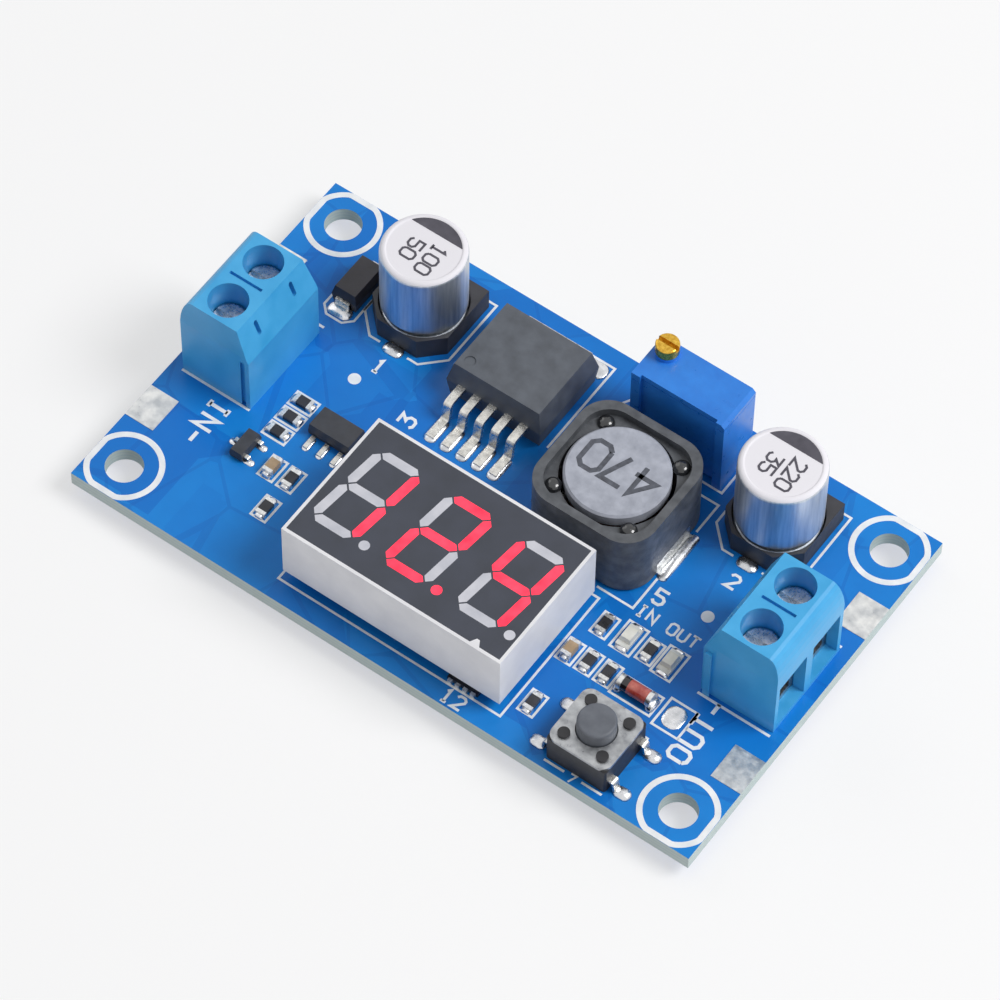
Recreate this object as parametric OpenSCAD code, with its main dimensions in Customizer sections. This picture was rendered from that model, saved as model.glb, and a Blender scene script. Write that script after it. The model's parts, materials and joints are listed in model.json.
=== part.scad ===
// Adjustable step-down converter module with screw terminals and a three-digit meter.
// Millimetres. The origin is the middle of the mounting-hole pattern, on the board's underside.
// X runs from the input to the output, Y away from the meter, Z up out of the board.

/* [Circuit board] */
// Length of the board
board_l = 66; // [64:0.5:76]
// Width of the board
board_w = 39; // [38:0.5:46]
// Thickness of the board
board_t = 1.6; // [0.8:0.1:2.4]
// Diameter of the four mounting holes
hole_d = 3.5; // [3:0.1:4]
// Distance from a board edge to the centre of a mounting hole
hole_inset = 3.35; // [2.6:0.05:4]
// Clearance around a pin in its plated hole
pin_hole_gap = 0.12; // [0.08:0.01:0.2]
// Height of the solder under the board
solder_h = 1.2; // [0.8:0.1:1.6]
// Width of the solder ring around a hole
solder_ring = 0.45; // [0.3:0.05:0.5]
// Diameter of a solder cone at its tip
solder_tip_d = 1; // [0.8:0.05:1.2]
// How far a pin stays short of its solder tip
pin_short = 0.2; // [0.1:0.05:0.4]

/* [Edge pads] */
// Length of an edge pad, in from the end of the board
edge_pad_l = 3.1; // [2:0.1:4]
// Width of an edge pad
edge_pad_w = 3.8; // [3:0.1:5]
// Thickness of a tinned pad
pad_t = 0.06; // [0.04:0.01:0.1]
// Distance of the negative pads from the long centre line
negative_pad_y = 9.85; // [9:0.05:10.2]
// Distance of the positive pads from the long centre line
positive_pad_y = 9.15; // [8.6:0.05:10]

/* [Screw terminals] */
// Distance between the two ways of a terminal
term_pitch = 5.08; // [5.08:0.01:5.4]
// Height of a terminal above the board
term_h = 10.5; // [10:0.1:12]
// Distance from the screw axis to the back of a terminal
term_back = 4; // [3.8:0.1:5]
// Distance from the screw axis to the wire side of a terminal
term_front = 3.5; // [3.3:0.1:4.5]
// Distance from the end of the board to the wire side
term_setback = 1.2; // [0.5:0.1:2]
// Sideways place of the input terminal
input_term_y = 0.25; // [-0.5:0.05:0.5]
// Sideways place of the output terminal
output_term_y = 0; // [-0.5:0.05:0.5]
// Thickness of a terminal's floor
term_floor = 0.6; // [0.5:0.05:0.8]
// Thickness of the outer wall beside each clamp
term_end_wall = 0.4; // [0.35:0.05:0.6]
// Width of the sloping face above the wire entries
front_slope_w = 1.2; // [0.6:0.1:1.4]
// Height of the sloping face above the wire entries
front_slope_h = 3; // [2:0.1:3.4]
// Width of the sloping face at the back
back_slope_w = 1.4; // [0.8:0.1:1.6]
// Height of the sloping face at the back
back_slope_h = 3.6; // [2.5:0.1:4]
// How far the end faces lean in at the top
end_lean = 0.3; // [0.1:0.05:0.35]
// Height of the wire entries
mouth_h = 5.8; // [5:0.1:6]
// Diameter of the screwdriver holes
driver_hole_d = 3.7; // [3.6:0.05:3.8]
// Width of the dovetail that joins blocks side by side
dovetail_w = 0.7; // [0.5:0.05:0.8]
// Distance from the back of a terminal to the dovetail's axis
dovetail_inset = 0.7; // [0.5:0.05:1]
// Length of a test probe slot
probe_slot_l = 1.65; // [1:0.05:1.8]
// Width of a test probe slot
probe_slot_w = 0.45; // [0.3:0.05:0.6]
// Width of the groove between the ways
groove_w = 0.3; // [0.2:0.05:0.5]
// Depth of the groove between the ways
groove_d = 0.4; // [0.2:0.05:0.6]
// Depth of the dovetail
dovetail_d = 0.35; // [0.2:0.05:0.4]
// Height of the dovetail
dovetail_h = 6.6; // [5:0.1:6.8]

/* [Wire clamps] */
// Outer width of a clamp
clamp_w = 4.1; // [3.8:0.05:4.2]
// Length of a clamp, along the wire
clamp_l = 4.6; // [4:0.1:4.8]
// Thickness of a clamp's sides and floor
clamp_wall = 0.6; // [0.5:0.05:0.7]
// Thickness of a clamp's threaded top
clamp_top_t = 1.1; // [0.9:0.1:1.3]
// Height of the space for the wire when a clamp is open
wire_space = 2.2; // [2:0.1:2.8]
// Thickness of the contact strip
strip_t = 0.8; // [0.6:0.05:0.9]
// Width of a contact's pin
term_pin_w = 0.9; // [0.7:0.05:1]
// How far a clamp rises when its screw is tightened
clamp_travel = 1.5; // [1.2:0.1:2]
// Gap between a clamp and its housing on each side
clamp_gap = 0.1; // [0.08:0.01:0.12]
// Small gap that keeps seated faces apart
seat_gap = 0.04; // [0.02:0.01:0.06]
// Diameter of a screw's shank
screw_d = 2.5; // [2:0.05:2.6]
// Clearance around the shank in the clamp's hole
screw_gap = 0.05; // [0.03:0.01:0.09]
// Diameter of a screw head
screw_head_d = 3.5; // [3.2:0.05:3.55]
// Height of a screw head
screw_head_h = 0.8; // [0.7:0.05:1.1]
// Width of the driver slot in a screw head
screw_slot_w = 0.6; // [0.4:0.05:0.8]
// Rounding of a screw head's edge
screw_head_round = 0.25; // [0.1:0.05:0.3]
// Chamfer at a screw's tip
screw_tip_chamfer = 0.3; // [0.1:0.05:0.4]
// Depth of the driver slot in a screw head
screw_slot_d = 0.5; // [0.3:0.05:0.6]

/* [Capacitors] */
// Diameter of a capacitor can
can_d = 8; // [7:0.1:8.2]
// Height of a capacitor above the board
cap_h = 10.3; // [8:0.1:12]
// How far the base plate is wider than the can
cap_base_margin = 0.3; // [0.1:0.05:0.5]
// Thickness of the base plate under the can
cap_base_t = 1; // [0.8:0.05:1.2]
// Height of the corner posts above the base plate
cap_post_h = 1.5; // [1:0.1:2]
// Size of the cut corners on the lead side
cap_corner = 2; // [1:0.1:2.2]
// Gap between the can and the corner posts
cap_post_gap = 0.15; // [0.1:0.01:0.3]
// Depth of the rolled neck near the foot of a can
can_neck = 0.35; // [0.2:0.05:0.4]
// Rounding of the rolled foot of a can
can_roll = 0.3; // [0.2:0.05:0.4]
// Depth of a can's top face below its edge
can_dish = 0.08; // [0.04:0.01:0.15]
// Rounding of a can's top edge
can_round = 0.5; // [0.3:0.05:0.7]
// Width of a capacitor lead
cap_lead_w = 1; // [0.6:0.1:1.3]
// Thickness of a capacitor lead
cap_lead_t = 0.2; // [0.15:0.01:0.3]
// Distance from the middle of a capacitor to the inner end of a lead
cap_lead_in = 1.2; // [0.8:0.1:2]
// How far a lead shows past the base
cap_lead_out = 0.9; // [0.5:0.1:1.2]

/* [Regulator] */
// Width of the regulator's body
reg_w = 10.2; // [9.8:0.1:10.4]
// Length of the regulator's body
reg_l = 9; // [8.4:0.1:9.2]
// Height of the regulator's body
reg_h = 4.5; // [4.2:0.1:4.8]
// How far the body's sides lean in towards the top
reg_lean = 0.5; // [0.2:0.05:0.6]
// Thickness of the metal tab
reg_tab_t = 1.3; // [1:0.05:1.4]
// How far the tab shows past the body
reg_tab_out = 1.4; // [1:0.1:1.6]
// How far the tab is narrower than the body on each side
reg_tab_inset = 0.9; // [0.6:0.1:1.2]
// Cut corners of the tab
reg_tab_chamfer = 0.8; // [0.4:0.1:1]
// How far the tab starts inside the lead side of the body
reg_tab_in = 2.4; // [2:0.1:3]
// Diameter of the moulding dimple in the body's top
reg_dimple_d = 1.1; // [0.8:0.1:1.4]
// Depth of the moulding dimple
reg_dimple_t = 0.12; // [0.06:0.02:0.2]
// Distance of the dimple from the body's edges
reg_dimple_inset = 1.5; // [1.2:0.1:2]
// Distance between the regulator's leads
reg_pitch = 1.7; // [1.6:0.02:1.8]
// Width of a regulator lead
reg_lead_w = 0.8; // [0.6:0.05:0.9]
// Thickness of a regulator lead
reg_lead_t = 0.4; // [0.3:0.05:0.5]
// Length of a lead inside the body
reg_lead_in = 1; // [0.6:0.1:1.4]
// Height of a lead where it leaves the body
reg_lead_z = 2.2; // [1.8:0.1:2.4]
// How far the leads reach from the body
reg_lead_reach = 4.8; // [4.4:0.1:5]
// Length of a lead's foot
reg_foot = 2.5; // [2:0.1:2.8]

/* [Inductor] */
// Side of the square ferrite shell
coil_side = 12.3; // [11.5:0.1:12.6]
// Height of the inductor above the board
coil_h = 7.8; // [6:0.1:9]
// Radius of the shell's corners
coil_corner = 3; // [2:0.1:3.4]
// Diameter of the drum core
drum_d = 9.5; // [9:0.1:9.6]
// Gap between the drum core and the shell
drum_gap = 0.4; // [0.2:0.05:0.45]
// Thickness of the drum core's flanges
drum_flange = 1.3; // [1:0.1:1.6]
// Diameter of the drum core's post
drum_post_d = 4.6; // [4:0.1:5]
// Width of the raised rim around the shell's top
coil_rim = 0.8; // [0.5:0.1:0.8]
// Depth of the corner pockets inside the rim
coil_pocket = 0.9; // [0.5:0.1:1.2]
// Chamfer of the drum core's top edge
drum_chamfer = 0.2; // [0.1:0.05:0.3]
// Diameter of a glue spot
glue_d = 1.6; // [1.3:0.1:1.6]
// Thickness of the inductor's terminal clips
clip_t = 0.3; // [0.2:0.05:0.4]
// Width of a terminal clip
clip_w = 5; // [4:0.1:6]
// How far a terminal clip reaches in under the drum core
clip_in = 2; // [1:0.1:2.5]
// How far a terminal clip shows past the shell
clip_out = 0.4; // [0.2:0.1:0.8]
// Height of a terminal clip up the side
clip_h = 1.6; // [1:0.1:2]

/* [Trimmer] */
// Length of the trimmer
trim_l = 9.8; // [9.4:0.1:10]
// Width of the trimmer
trim_w = 4.85; // [4.6:0.05:5]
// Height of the trimmer above the board
trim_h = 10; // [9.5:0.1:11]
// Thickness of the trimmer's lid
trim_lid = 0.9; // [0.6:0.1:1.2]
// Depth of the panel between the end ribs
trim_panel = 0.45; // [0.2:0.05:0.6]
// Width of the end ribs
trim_rib = 0.9; // [0.6:0.1:1.2]
// Size of the chamfer at the trimmer's end
trim_chamfer = 0.5; // [0.3:0.05:0.6]
// Width of the seam under the lid
trim_seam_h = 0.08; // [0.04:0.02:0.12]
// Depth of the seam under the lid
trim_seam_d = 0.07; // [0.04:0.01:0.1]
// Width of the slot in the adjusting screw
trim_slot_w = 0.45; // [0.3:0.05:0.6]
// Depth of the slot in the adjusting screw
trim_slot_d = 0.5; // [0.3:0.05:0.7]
// Height of the trimmer's feet
trim_foot = 0.5; // [0.3:0.1:0.8]
// Diameter of the adjusting screw's head
trim_screw_d = 2.2; // [1.8:0.05:2.4]
// Diameter of the adjusting screw's neck
trim_neck_d = 1.6; // [1.2:0.05:1.7]
// How far the adjusting screw stands above the lid
trim_screw_out = 1.6; // [1.2:0.1:1.8]
// Height of the collar that the adjusting screw turns in
trim_collar_h = 0.45; // [0.3:0.05:0.6]
// Clearance around the adjusting screw's neck
trim_neck_gap = 0.06; // [0.03:0.01:0.09]
// Depth of the adjusting screw's neck in the trimmer
trim_neck_in = 2.5; // [1.5:0.1:3]
// Distance from the trimmer's faces to the screw's axis
trim_screw_inset = 1.35; // [1.3:0.05:1.8]
// Distance between the trimmer's pins
trim_pitch = 2.54; // [2.5:0.02:2.6]
// Length of a trimmer pin inside the case
trim_pin_in = 1; // [0.6:0.1:2]
// Diameter of a trimmer pin
trim_pin_d = 0.5; // [0.4:0.05:0.6]

/* [Meter display] */
// Length of the display
disp_l = 23.1; // [22.6:0.1:23.4]
// Width of the display
disp_w = 14.1; // [13.6:0.1:14.4]
// Height of the display's housing
disp_h = 6.6; // [6:0.1:7.5]
// Gap under the display's housing
disp_gap = 1.3; // [1.2:0.05:1.6]
// Wall of the display's housing around its base and face
disp_rim = 0.3; // [0.25:0.05:0.4]
// Depth of the recess under the housing
disp_recess = 1; // [0.6:0.1:1.4]
// Width of the index notch in the face's near edge
notch_w = 1; // [0.6:0.1:1.4]
// Depth of the index notch
notch_d = 0.6; // [0.4:0.05:0.8]
// Thickness of the dark face
face_t = 0.2; // [0.15:0.05:0.3]
// Height of a digit, over its middle lines
digit_h = 8.5; // [8:0.1:8.8]
// Width of a digit, over its middle lines
digit_w = 4.1; // [3.8:0.1:4.2]
// Width of a lit bar
bar_w = 0.9; // [0.7:0.05:1]
// Gap between bars where they meet
bar_gap = 0.16; // [0.1:0.02:0.2]
// Lean of the digits in degrees
digit_lean = 6.4; // [0:0.2:8]
// Distance from one digit to the next
digit_pitch = 7.65; // [7.5:0.05:7.7]
// Distance from a digit's right-hand bars to its decimal point
point_side = 1.3; // [1.15:0.05:1.4]
// Diameter of a decimal point
point_d = 1; // [0.7:0.05:1.1]
// Distance between the two rows of display pins
disp_row = 10.16; // [9:0.02:11]
// Distance between the display's pins in a row
disp_pitch = 2.54; // [2.5:0.02:2.7]
// Length of a display pin inside the housing
disp_pin_in = 0.8; // [0.5:0.1:1.5]
// Diameter of a display pin
disp_pin_d = 0.5; // [0.4:0.05:0.6]

/* [Push switch] */
// Side of the square switch
sw_side = 6.2; // [6:0.1:6.4]
// Height of the switch's base
sw_base_h = 3.1; // [2.8:0.1:3.4]
// Thickness of the cover plate
sw_plate_t = 0.3; // [0.2:0.05:0.4]
// Diameter of the button
button_d = 3.5; // [3.2:0.05:3.6]
// How far the button stands above the cover plate
button_out = 1.5; // [0.8:0.1:2]
// Clearance around the button in the cover plate
button_gap = 0.1; // [0.05:0.01:0.15]
// Width of the flange that keeps the button in
button_flange = 0.4; // [0.3:0.05:0.5]
// Thickness of the button's flange
button_flange_t = 0.6; // [0.5:0.05:0.7]
// Rounding of the button's top edge
button_round = 0.25; // [0.1:0.05:0.4]
// Travel of the button
button_travel = 0.25; // [0.15:0.01:0.4]
// Rise of the snap dome under the button
dome_rise = 0.5; // [0.45:0.05:0.7]
// Thickness of the snap dome
dome_t = 0.1; // [0.06:0.01:0.12]
// Clearance around the snap dome in its well
dome_gap = 0.1; // [0.05:0.01:0.15]
// Diameter of the rivet heads in the cover plate
rivet_d = 1.1; // [0.9:0.05:1.2]
// Height of the rivet heads above the cover plate
rivet_h = 0.25; // [0.1:0.05:0.4]
// Width of a switch lead
sw_lead_w = 0.8; // [0.6:0.05:1]
// Thickness of a switch lead
sw_lead_t = 0.2; // [0.15:0.01:0.3]
// How far a switch lead reaches from the base
sw_lead_out = 1.6; // [1.2:0.1:2]
// Length of the foot of a switch lead
sw_lead_foot = 1; // [0.8:0.1:1.1]
// Height of a switch lead where it leaves the base
sw_lead_z = 1.3; // [0.9:0.1:1.5]
// Length of a switch lead inside the base
sw_lead_in = 0.6; // [0.3:0.1:0.7]
// Distance between the leads on one side of the switch
sw_lead_pitch = 4.5; // [4:0.1:4.8]

/* [Small parts] */
// Length of a chip part
chip_l = 1.8; // [1.5:0.05:2]
// Width of a chip part
chip_w = 0.95; // [0.8:0.05:1]
// Height of a chip resistor
chip_resistor_h = 0.5; // [0.35:0.05:0.6]
// Height of a chip capacitor
chip_capacitor_h = 0.85; // [0.6:0.05:0.95]
// Length of a chip part's metal end
chip_end = 0.35; // [0.25:0.05:0.4]
// Length of an indicator lamp
lamp_l = 2.4; // [2:0.1:3]
// Width of an indicator lamp
lamp_w = 1.3; // [1:0.1:1.5]
// Height of an indicator lamp
lamp_h = 0.9; // [0.7:0.05:1.2]
// Length of the glass diode
glass_l = 3.5; // [3.2:0.1:3.7]
// Diameter of the glass diode
glass_d = 1.5; // [1.3:0.05:1.6]
// Length of the glass diode's caps
glass_cap = 0.45; // [0.3:0.05:0.6]
// Length of the input diode's body
diode_l = 5.2; // [4.6:0.1:5.4]
// Width of the input diode's body
diode_w = 2.7; // [2.4:0.1:2.8]
// Height of the input diode's body
diode_h = 2.2; // [2:0.1:2.4]
// Thickness of the input diode's leads
diode_lead_t = 0.2; // [0.15:0.01:0.3]
// Width of the input diode's leads
diode_lead_w = 1.5; // [1.2:0.1:1.6]
// Length of the input diode's leads inside and under the body
diode_lead_in = 1.1; // [0.8:0.1:1.2]

/* [Transistors and chips] */
// Length of the small transistor
small_l = 2.9; // [2.7:0.1:3]
// Width of the small transistor's body
small_w = 1.4; // [1.2:0.1:1.5]
// Height of the small transistor above the board
small_h = 1.1; // [0.9:0.05:1.2]
// Distance between neighbouring leads of the small transistor
small_pitch = 0.95; // [0.9:0.01:1]
// Length of the wide transistor's body
wide_l = 4.5; // [4.2:0.1:4.6]
// Width of the wide transistor's body
wide_w = 2.5; // [2.3:0.1:2.6]
// Height of the wide transistor above the board
wide_h = 1.5; // [1.3:0.05:1.6]
// Distance between the wide transistor's leads
wide_pitch = 1.5; // [1.4:0.05:1.6]
// How far the wide transistor's leads show past the body
wide_lead_out = 1.6; // [1:0.1:1.8]
// Thickness of the wide transistor's leads
wide_lead_t = 0.35; // [0.25:0.05:0.4]
// Length of the resistor array
array_l = 3.2; // [3:0.1:3.4]
// Width of the resistor array's body
array_w = 1; // [0.8:0.1:1.2]
// Height of the resistor array
array_h = 0.5; // [0.4:0.05:0.6]
// Distance between the resistor array's ends
array_pitch = 0.8; // [0.75:0.05:0.85]
// Clearance between the resistor array and the display's near pins
array_pin_gap = 0.37; // [0.2:0.01:0.6]
// Length of the meter chip
meter_l = 6.5; // [6.2:0.1:6.8]
// Width of the meter chip's body
meter_w = 4.4; // [4:0.1:4.6]
// Height of the meter chip above the board
meter_h = 1.05; // [0.9:0.05:1.15]
// Distance between neighbouring leads of the meter chip
meter_pitch = 0.65; // [0.6:0.01:0.66]
// Reach of a chip's bent leads
fine_reach = 0.85; // [0.8:0.05:1.1]
// Length of the feet of a chip's bent leads
fine_foot = 0.35; // [0.3:0.05:0.5]
// Thickness of a chip's bent leads
fine_lead_t = 0.12; // [0.08:0.01:0.15]
// Height of a chip's bent leads where they leave the body
fine_lead_z = 0.6; // [0.5:0.05:0.7]
// Gap under a chip's body
chip_lift = 0.1; // [0.05:0.01:0.15]
// How far a moulded chip's sides lean in
chip_lean = 0.1; // [0.05:0.01:0.15]
// How far a chip's metal ends stand proud of its middle
end_proud = 0.02; // [0.01:0.01:0.04]

/* [Hidden] */
$fn = 48;
eps = 0.01;
pin_bottom = -(solder_h - pin_short);

// Terminal stack, in heights above the board
term_w = 2 * (term_pitch / 2 + clamp_w / 2 + clamp_gap + term_end_wall);
clamp_z = term_floor + seat_gap;
strip_z = clamp_z + clamp_wall + wire_space;
clamp_top_z = strip_z + strip_t + seat_gap;
chamber_top = clamp_top_z + clamp_top_t + clamp_travel + seat_gap;
head_z = chamber_top + seat_gap;
chamber_back = -(clamp_l / 2 + clamp_gap);
strip_w = clamp_w - 2 * clamp_wall - 2 * clamp_gap;
term_pin_x = chamber_back - strip_t / 2;
term_hole_d = norm([strip_t, term_pin_w]) + 2 * pin_hole_gap;
term_x = board_l / 2 - term_setback - term_front;
negative_way = -term_pitch / 2;
positive_way = term_pitch / 2;
slope_angle = atan2(back_slope_w, back_slope_h);

// A spot on the board, in percent of the way from its middle to its edges, to a hundredth
function spot(x, y) = [round(x * board_l / 2) / 100, round(y * board_w / 2) / 100];

// Places of the parts' middles
input_cap = spot(-54.09, 63.59);
output_cap = spot(61.97, 63.08);
regulator = spot(-18.94, 57.95);
coil = spot(25.76, 23.85);
trimmer = spot(28.03, 76.67);
display = spot(0.45, -52.05);
push_switch = spot(62.12, -78.72);
input_diode = spot(-73.33, 57.33);
glass_diode = spot(61.21, -45.64);
flat_resistors = [for (i = [0 : 2]) spot(-63.18, -8.21 - 9.74 * i)];
upright_resistors = [
    spot(-51.21, -44.62), spot(-51.21, -63.59), spot(42.42, -24.36), spot(56.67, -23.85),
    spot(45.61, -44.1), spot(51.67, -44.1), spot(40.91, -75.9),
];
capacitor_chips = [spot(-57.42, -44.62), spot(39.7, -44.36)];
lamps = [spot(49.85, -23.59), spot(62.88, -23.59)];
small_transistor = spot(-67.12, -43.08);
wide_transistor = spot(-49.7, -13.59);

// Derived sizes of the other parts
cap_base = can_d + cap_base_margin;
reg_tab_w = reg_w - 2 * reg_tab_inset;
trim_screw = [-trim_l / 2 + trim_screw_inset, trim_w / 2 - trim_screw_inset];
pocket_side = coil_side - 2 * coil_rim;
pocket_corner = coil_corner - coil_rim / 2;
trim_hole_d = trim_pin_d + 2 * pin_hole_gap;
trim_pin_y = trimmer[1] - trim_w / 6;
disp_hole_d = disp_pin_d + 2 * pin_hole_gap;
disp_top = disp_gap + disp_h;
trim_pins = [for (i = [-1 : 1]) [trimmer[0] + i * trim_pitch, trim_pin_y]];
disp_pins = [
    for (row = [-1, 1]) for (i = [0 : 5])
        [display[0] + (i - 2.5) * disp_pitch, display[1] + row * disp_row / 2]
];
term_pins = [
    for (way = [negative_way, positive_way]) [-term_x - term_pin_x, input_term_y + way],
    for (way = [negative_way, positive_way]) [term_x + term_pin_x, output_term_y + way],
];
diode_lead_z = diode_h / 2 + diode_lead_t / 4;
well_d = button_d + 2 * button_flange + 2 * button_gap;
flange_top = sw_base_h - seat_gap;
rivet_x = sw_side / 2 - rivet_d;

// Points of an arc about (cx, cy), from angle a to angle b
function arc(cx, cy, r, a, b, n = 6) =
    [for (i = [0 : n]) [cx + r * cos(a + (b - a) * i / n), cy + r * sin(a + (b - a) * i / n)]];

// Outline of a strip that leaves a body level at height h, bends down and ends in a flat foot
function gull(h, reach, foot, t, step) = let (r = t * 0.6, x1 = reach - foot, x0 = x1 - step) concat(
    [[0, h + t / 2], [0, h - t / 2]],
    arc(x0 - r, h - t / 2 - r, r, 90, 10),
    arc(x1 + r + t / 2, r + t, r + t, 190, 270),
    [[reach, 0], [reach, t]],
    arc(x1 + r + t / 2, r + t, r, 270, 190),
    arc(x0 - r, h - t / 2 - r, r + t, 10, 90)
);

// A point of a digit, leaned over by its height
function leaned(p) = [p[0] + p[1] * tan(digit_lean), p[1]];

// Outline of one bar between two corners of a digit, with pointed ends
function bar(p, q) =
    let (d = (q - p) / norm(q - p))
    let (n = [-d[1], d[0]] * bar_w / 2, g = d * bar_gap / sqrt(2), h = g + d * bar_w / 2)
    [for (v = [p + g, p + h + n, q - h + n, q - g, q - h - n, p + h - n]) leaned(v)];

// Bars of a digit: top, upper right, lower right, bottom, lower left, upper left, middle
function bars() = let (w = digit_w / 2, h = digit_h / 2) [
    bar([-w, h], [w, h]), bar([w, h], [w, 0]), bar([w, 0], [w, -h]), bar([-w, -h], [w, -h]),
    bar([-w, -h], [-w, 0]), bar([-w, 0], [-w, h]), bar([-w, 0], [w, 0]),
];

lit = [[0, 1, 1, 0, 0, 0, 0], [1, 1, 0, 1, 1, 0, 1], [0, 1, 1, 0, 0, 1, 1]];
lit_points = [0, 1, 0];

module round_rect(x, y, r) {
    square([x - 2 * r, y], center = true);
    square([x, y - 2 * r], center = true);
    for (sx = [-1, 1], sy = [-1, 1])
        translate([sx * (x / 2 - r), sy * (y / 2 - r)]) circle(r);
}

module block(x, y, z) {
    translate([-x / 2, -y / 2, 0]) cube([x, y, z]);
}

// A body whose four sides lean in by lean at the top and at the bottom, widest at height mid
module leaned_block(x, y, z, mid, lean) {
    intersection() {
        rotate([90, 0, 0]) linear_extrude(height = y + 1, center = true) leaned_side(x, z, mid, lean);
        rotate([90, 0, 90]) linear_extrude(height = x + 1, center = true) leaned_side(y, z, mid, lean);
    }
}

module leaned_side(w, z, mid, lean) {
    s = w / 2;
    low = s - lean * mid / z;
    polygon([[-low, 0], [low, 0], [s, mid], [s - lean, z], [lean - s, z], [-s, mid]]);
}

// Board

module circuit_board() {
    color("royalblue") difference() {
        translate([-board_l / 2, -board_w / 2, 0]) cube([board_l, board_w, board_t]);
        for (sx = [-1, 1], sy = [-1, 1])
            translate([sx * (board_l / 2 - hole_inset), sy * (board_w / 2 - hole_inset), -1])
                cylinder(d = hole_d, h = board_t + 2);
        drill(term_pins, term_hole_d);
        drill(trim_pins, trim_hole_d);
        drill(disp_pins, disp_hole_d);
    }
}

module drill(places, d) {
    for (p = places) translate([p[0], p[1], -1]) cylinder(d = d, h = board_t + 2);
}

module edge_pads() {
    color("silver")
        for (side = [-1, 1], y = [-negative_pad_y, positive_pad_y])
            translate([side * (board_l - edge_pad_l) / 2, y, board_t])
                block(edge_pad_l, edge_pad_w, pad_t);
}

// Solder cones under the board, one around each pin
module solder_cones(places, hole) {
    for (p = places)
        translate([p[0], p[1], -solder_h])
            cylinder(d1 = solder_tip_d, d2 = hole + 2 * solder_ring, h = solder_h);
}

// Screw terminals

// Side outline of a terminal: wire side at +X
module terminal_side() {
    f = term_front;
    b = term_back;
    shoulder = [for (p = arc(0, 0, 1, 0, 90)) [
        f - front_slope_w + front_slope_w * p[0], term_h - front_slope_h + front_slope_h * p[1]]];
    polygon(concat([[-b, 0], [f, 0]], shoulder,
        [[-b + back_slope_w, term_h], [-b, term_h - back_slope_h]]));
}

module terminal_end() {
    w = term_w / 2;
    h = term_h - front_slope_h;
    polygon([[-w, 0], [w, 0], [w, h], [w - end_lean, term_h], [end_lean - w, term_h], [-w, h]]);
}

module dovetail(depth, grow) {
    w = dovetail_w / 2 + grow;
    translate([-term_back + dovetail_inset, 0, 0]) linear_extrude(height = dovetail_h + grow)
        polygon([[-w * 0.6, 0], [w * 0.6, 0], [w, depth], [-w, depth]]);
}

module terminal_housing() {
    color("deepskyblue") difference() {
        union() {
            intersection() {
                rotate([90, 0, 0]) linear_extrude(height = term_w, center = true) terminal_side();
                rotate([90, 0, 90]) linear_extrude(height = 3 * term_front, center = true) terminal_end();
            }
            translate([0, -term_w / 2 + eps, 0]) mirror([0, 1, 0]) dovetail(dovetail_d, 0);
        }
        for (way = [negative_way, positive_way]) translate([0, way, 0]) {
            terminal_chamber();
            translate([0, 0, chamber_top - 1]) cylinder(d = driver_hole_d, h = term_h);
            test_slot();
        }
        translate([0, 0, term_h]) cube([term_front, groove_w, 2 * groove_d], center = true);
        translate([0, term_w / 2 + eps, -eps]) mirror([0, 1, 0]) dovetail(dovetail_d, seat_gap);
    }
}

// Space for the clamp and its contact strip, open to the wire side
module terminal_chamber() {
    w = clamp_w + 2 * clamp_gap;
    translate([chamber_back, -w / 2, term_floor])
        cube([clamp_l + 2 * clamp_gap, w, chamber_top - term_floor]);
    translate([0, -clamp_w / 2, term_floor]) cube([term_front + 1, clamp_w, mouth_h]);
    translate([chamber_back - strip_t - seat_gap, -strip_w / 2 - seat_gap, -1])
        cube([strip_t + seat_gap + eps, strip_w + 2 * seat_gap, strip_z + strip_t + 1 + seat_gap]);
}

// Narrow slot for a test probe in the sloping back face
module test_slot() {
    translate([-term_back + back_slope_w * 0.6, 0, term_h - back_slope_h * 0.4])
        rotate([0, slope_angle - 90, 0]) translate([0, 0, -1]) linear_extrude(height = 2) {
            straight = probe_slot_l - probe_slot_w;
            square([straight, probe_slot_w], center = true);
            for (s = [-1, 1]) translate([s * straight / 2, 0]) circle(d = probe_slot_w);
        }
}

// Contact strip: a riser in the back wall, a tongue through the clamp and a pin through the board
module terminal_contact() {
    translate([chamber_back - strip_t, -strip_w / 2, 0]) cube([strip_t, strip_w, strip_z + strip_t]);
    translate([chamber_back - eps, -strip_w / 2, strip_z]) cube([clamp_l - clamp_wall, strip_w, strip_t]);
    translate([chamber_back - strip_t, -term_pin_w / 2, pin_bottom - board_t])
        cube([strip_t, term_pin_w, board_t - pin_bottom + eps]);
}

// Wire clamp: a square frame around the tongue, threaded on top
module wire_clamp() {
    inner_w = clamp_w - 2 * clamp_wall;
    z0 = clamp_z + clamp_wall;
    color("lightgray") difference() {
        translate([0, 0, clamp_z]) block(clamp_l, clamp_w, clamp_top_z + clamp_top_t - clamp_z);
        translate([0, 0, z0]) block(clamp_l + 1, inner_w, clamp_top_z - z0);
        translate([0, 0, clamp_top_z - 1]) cylinder(d = screw_d + 2 * screw_gap, h = clamp_top_t + 2);
    }
}

module clamp_screw() {
    tip = strip_z + strip_t + seat_gap;
    round = screw_head_round;
    color("gainsboro") difference() {
        rotate_extrude() polygon(concat(
            [[0, tip], [screw_d / 2 - screw_tip_chamfer, tip]],
            [[screw_d / 2, tip + screw_tip_chamfer], [screw_d / 2, head_z], [screw_head_d / 2, head_z]],
            arc(screw_head_d / 2 - round, head_z + screw_head_h - round, round, 0, 90, 4),
            [[0, head_z + screw_head_h]]));
        translate([0, 0, head_z + screw_head_h])
            cube([screw_head_d + 1, screw_slot_w, 2 * screw_slot_d], center = true);
    }
}

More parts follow.
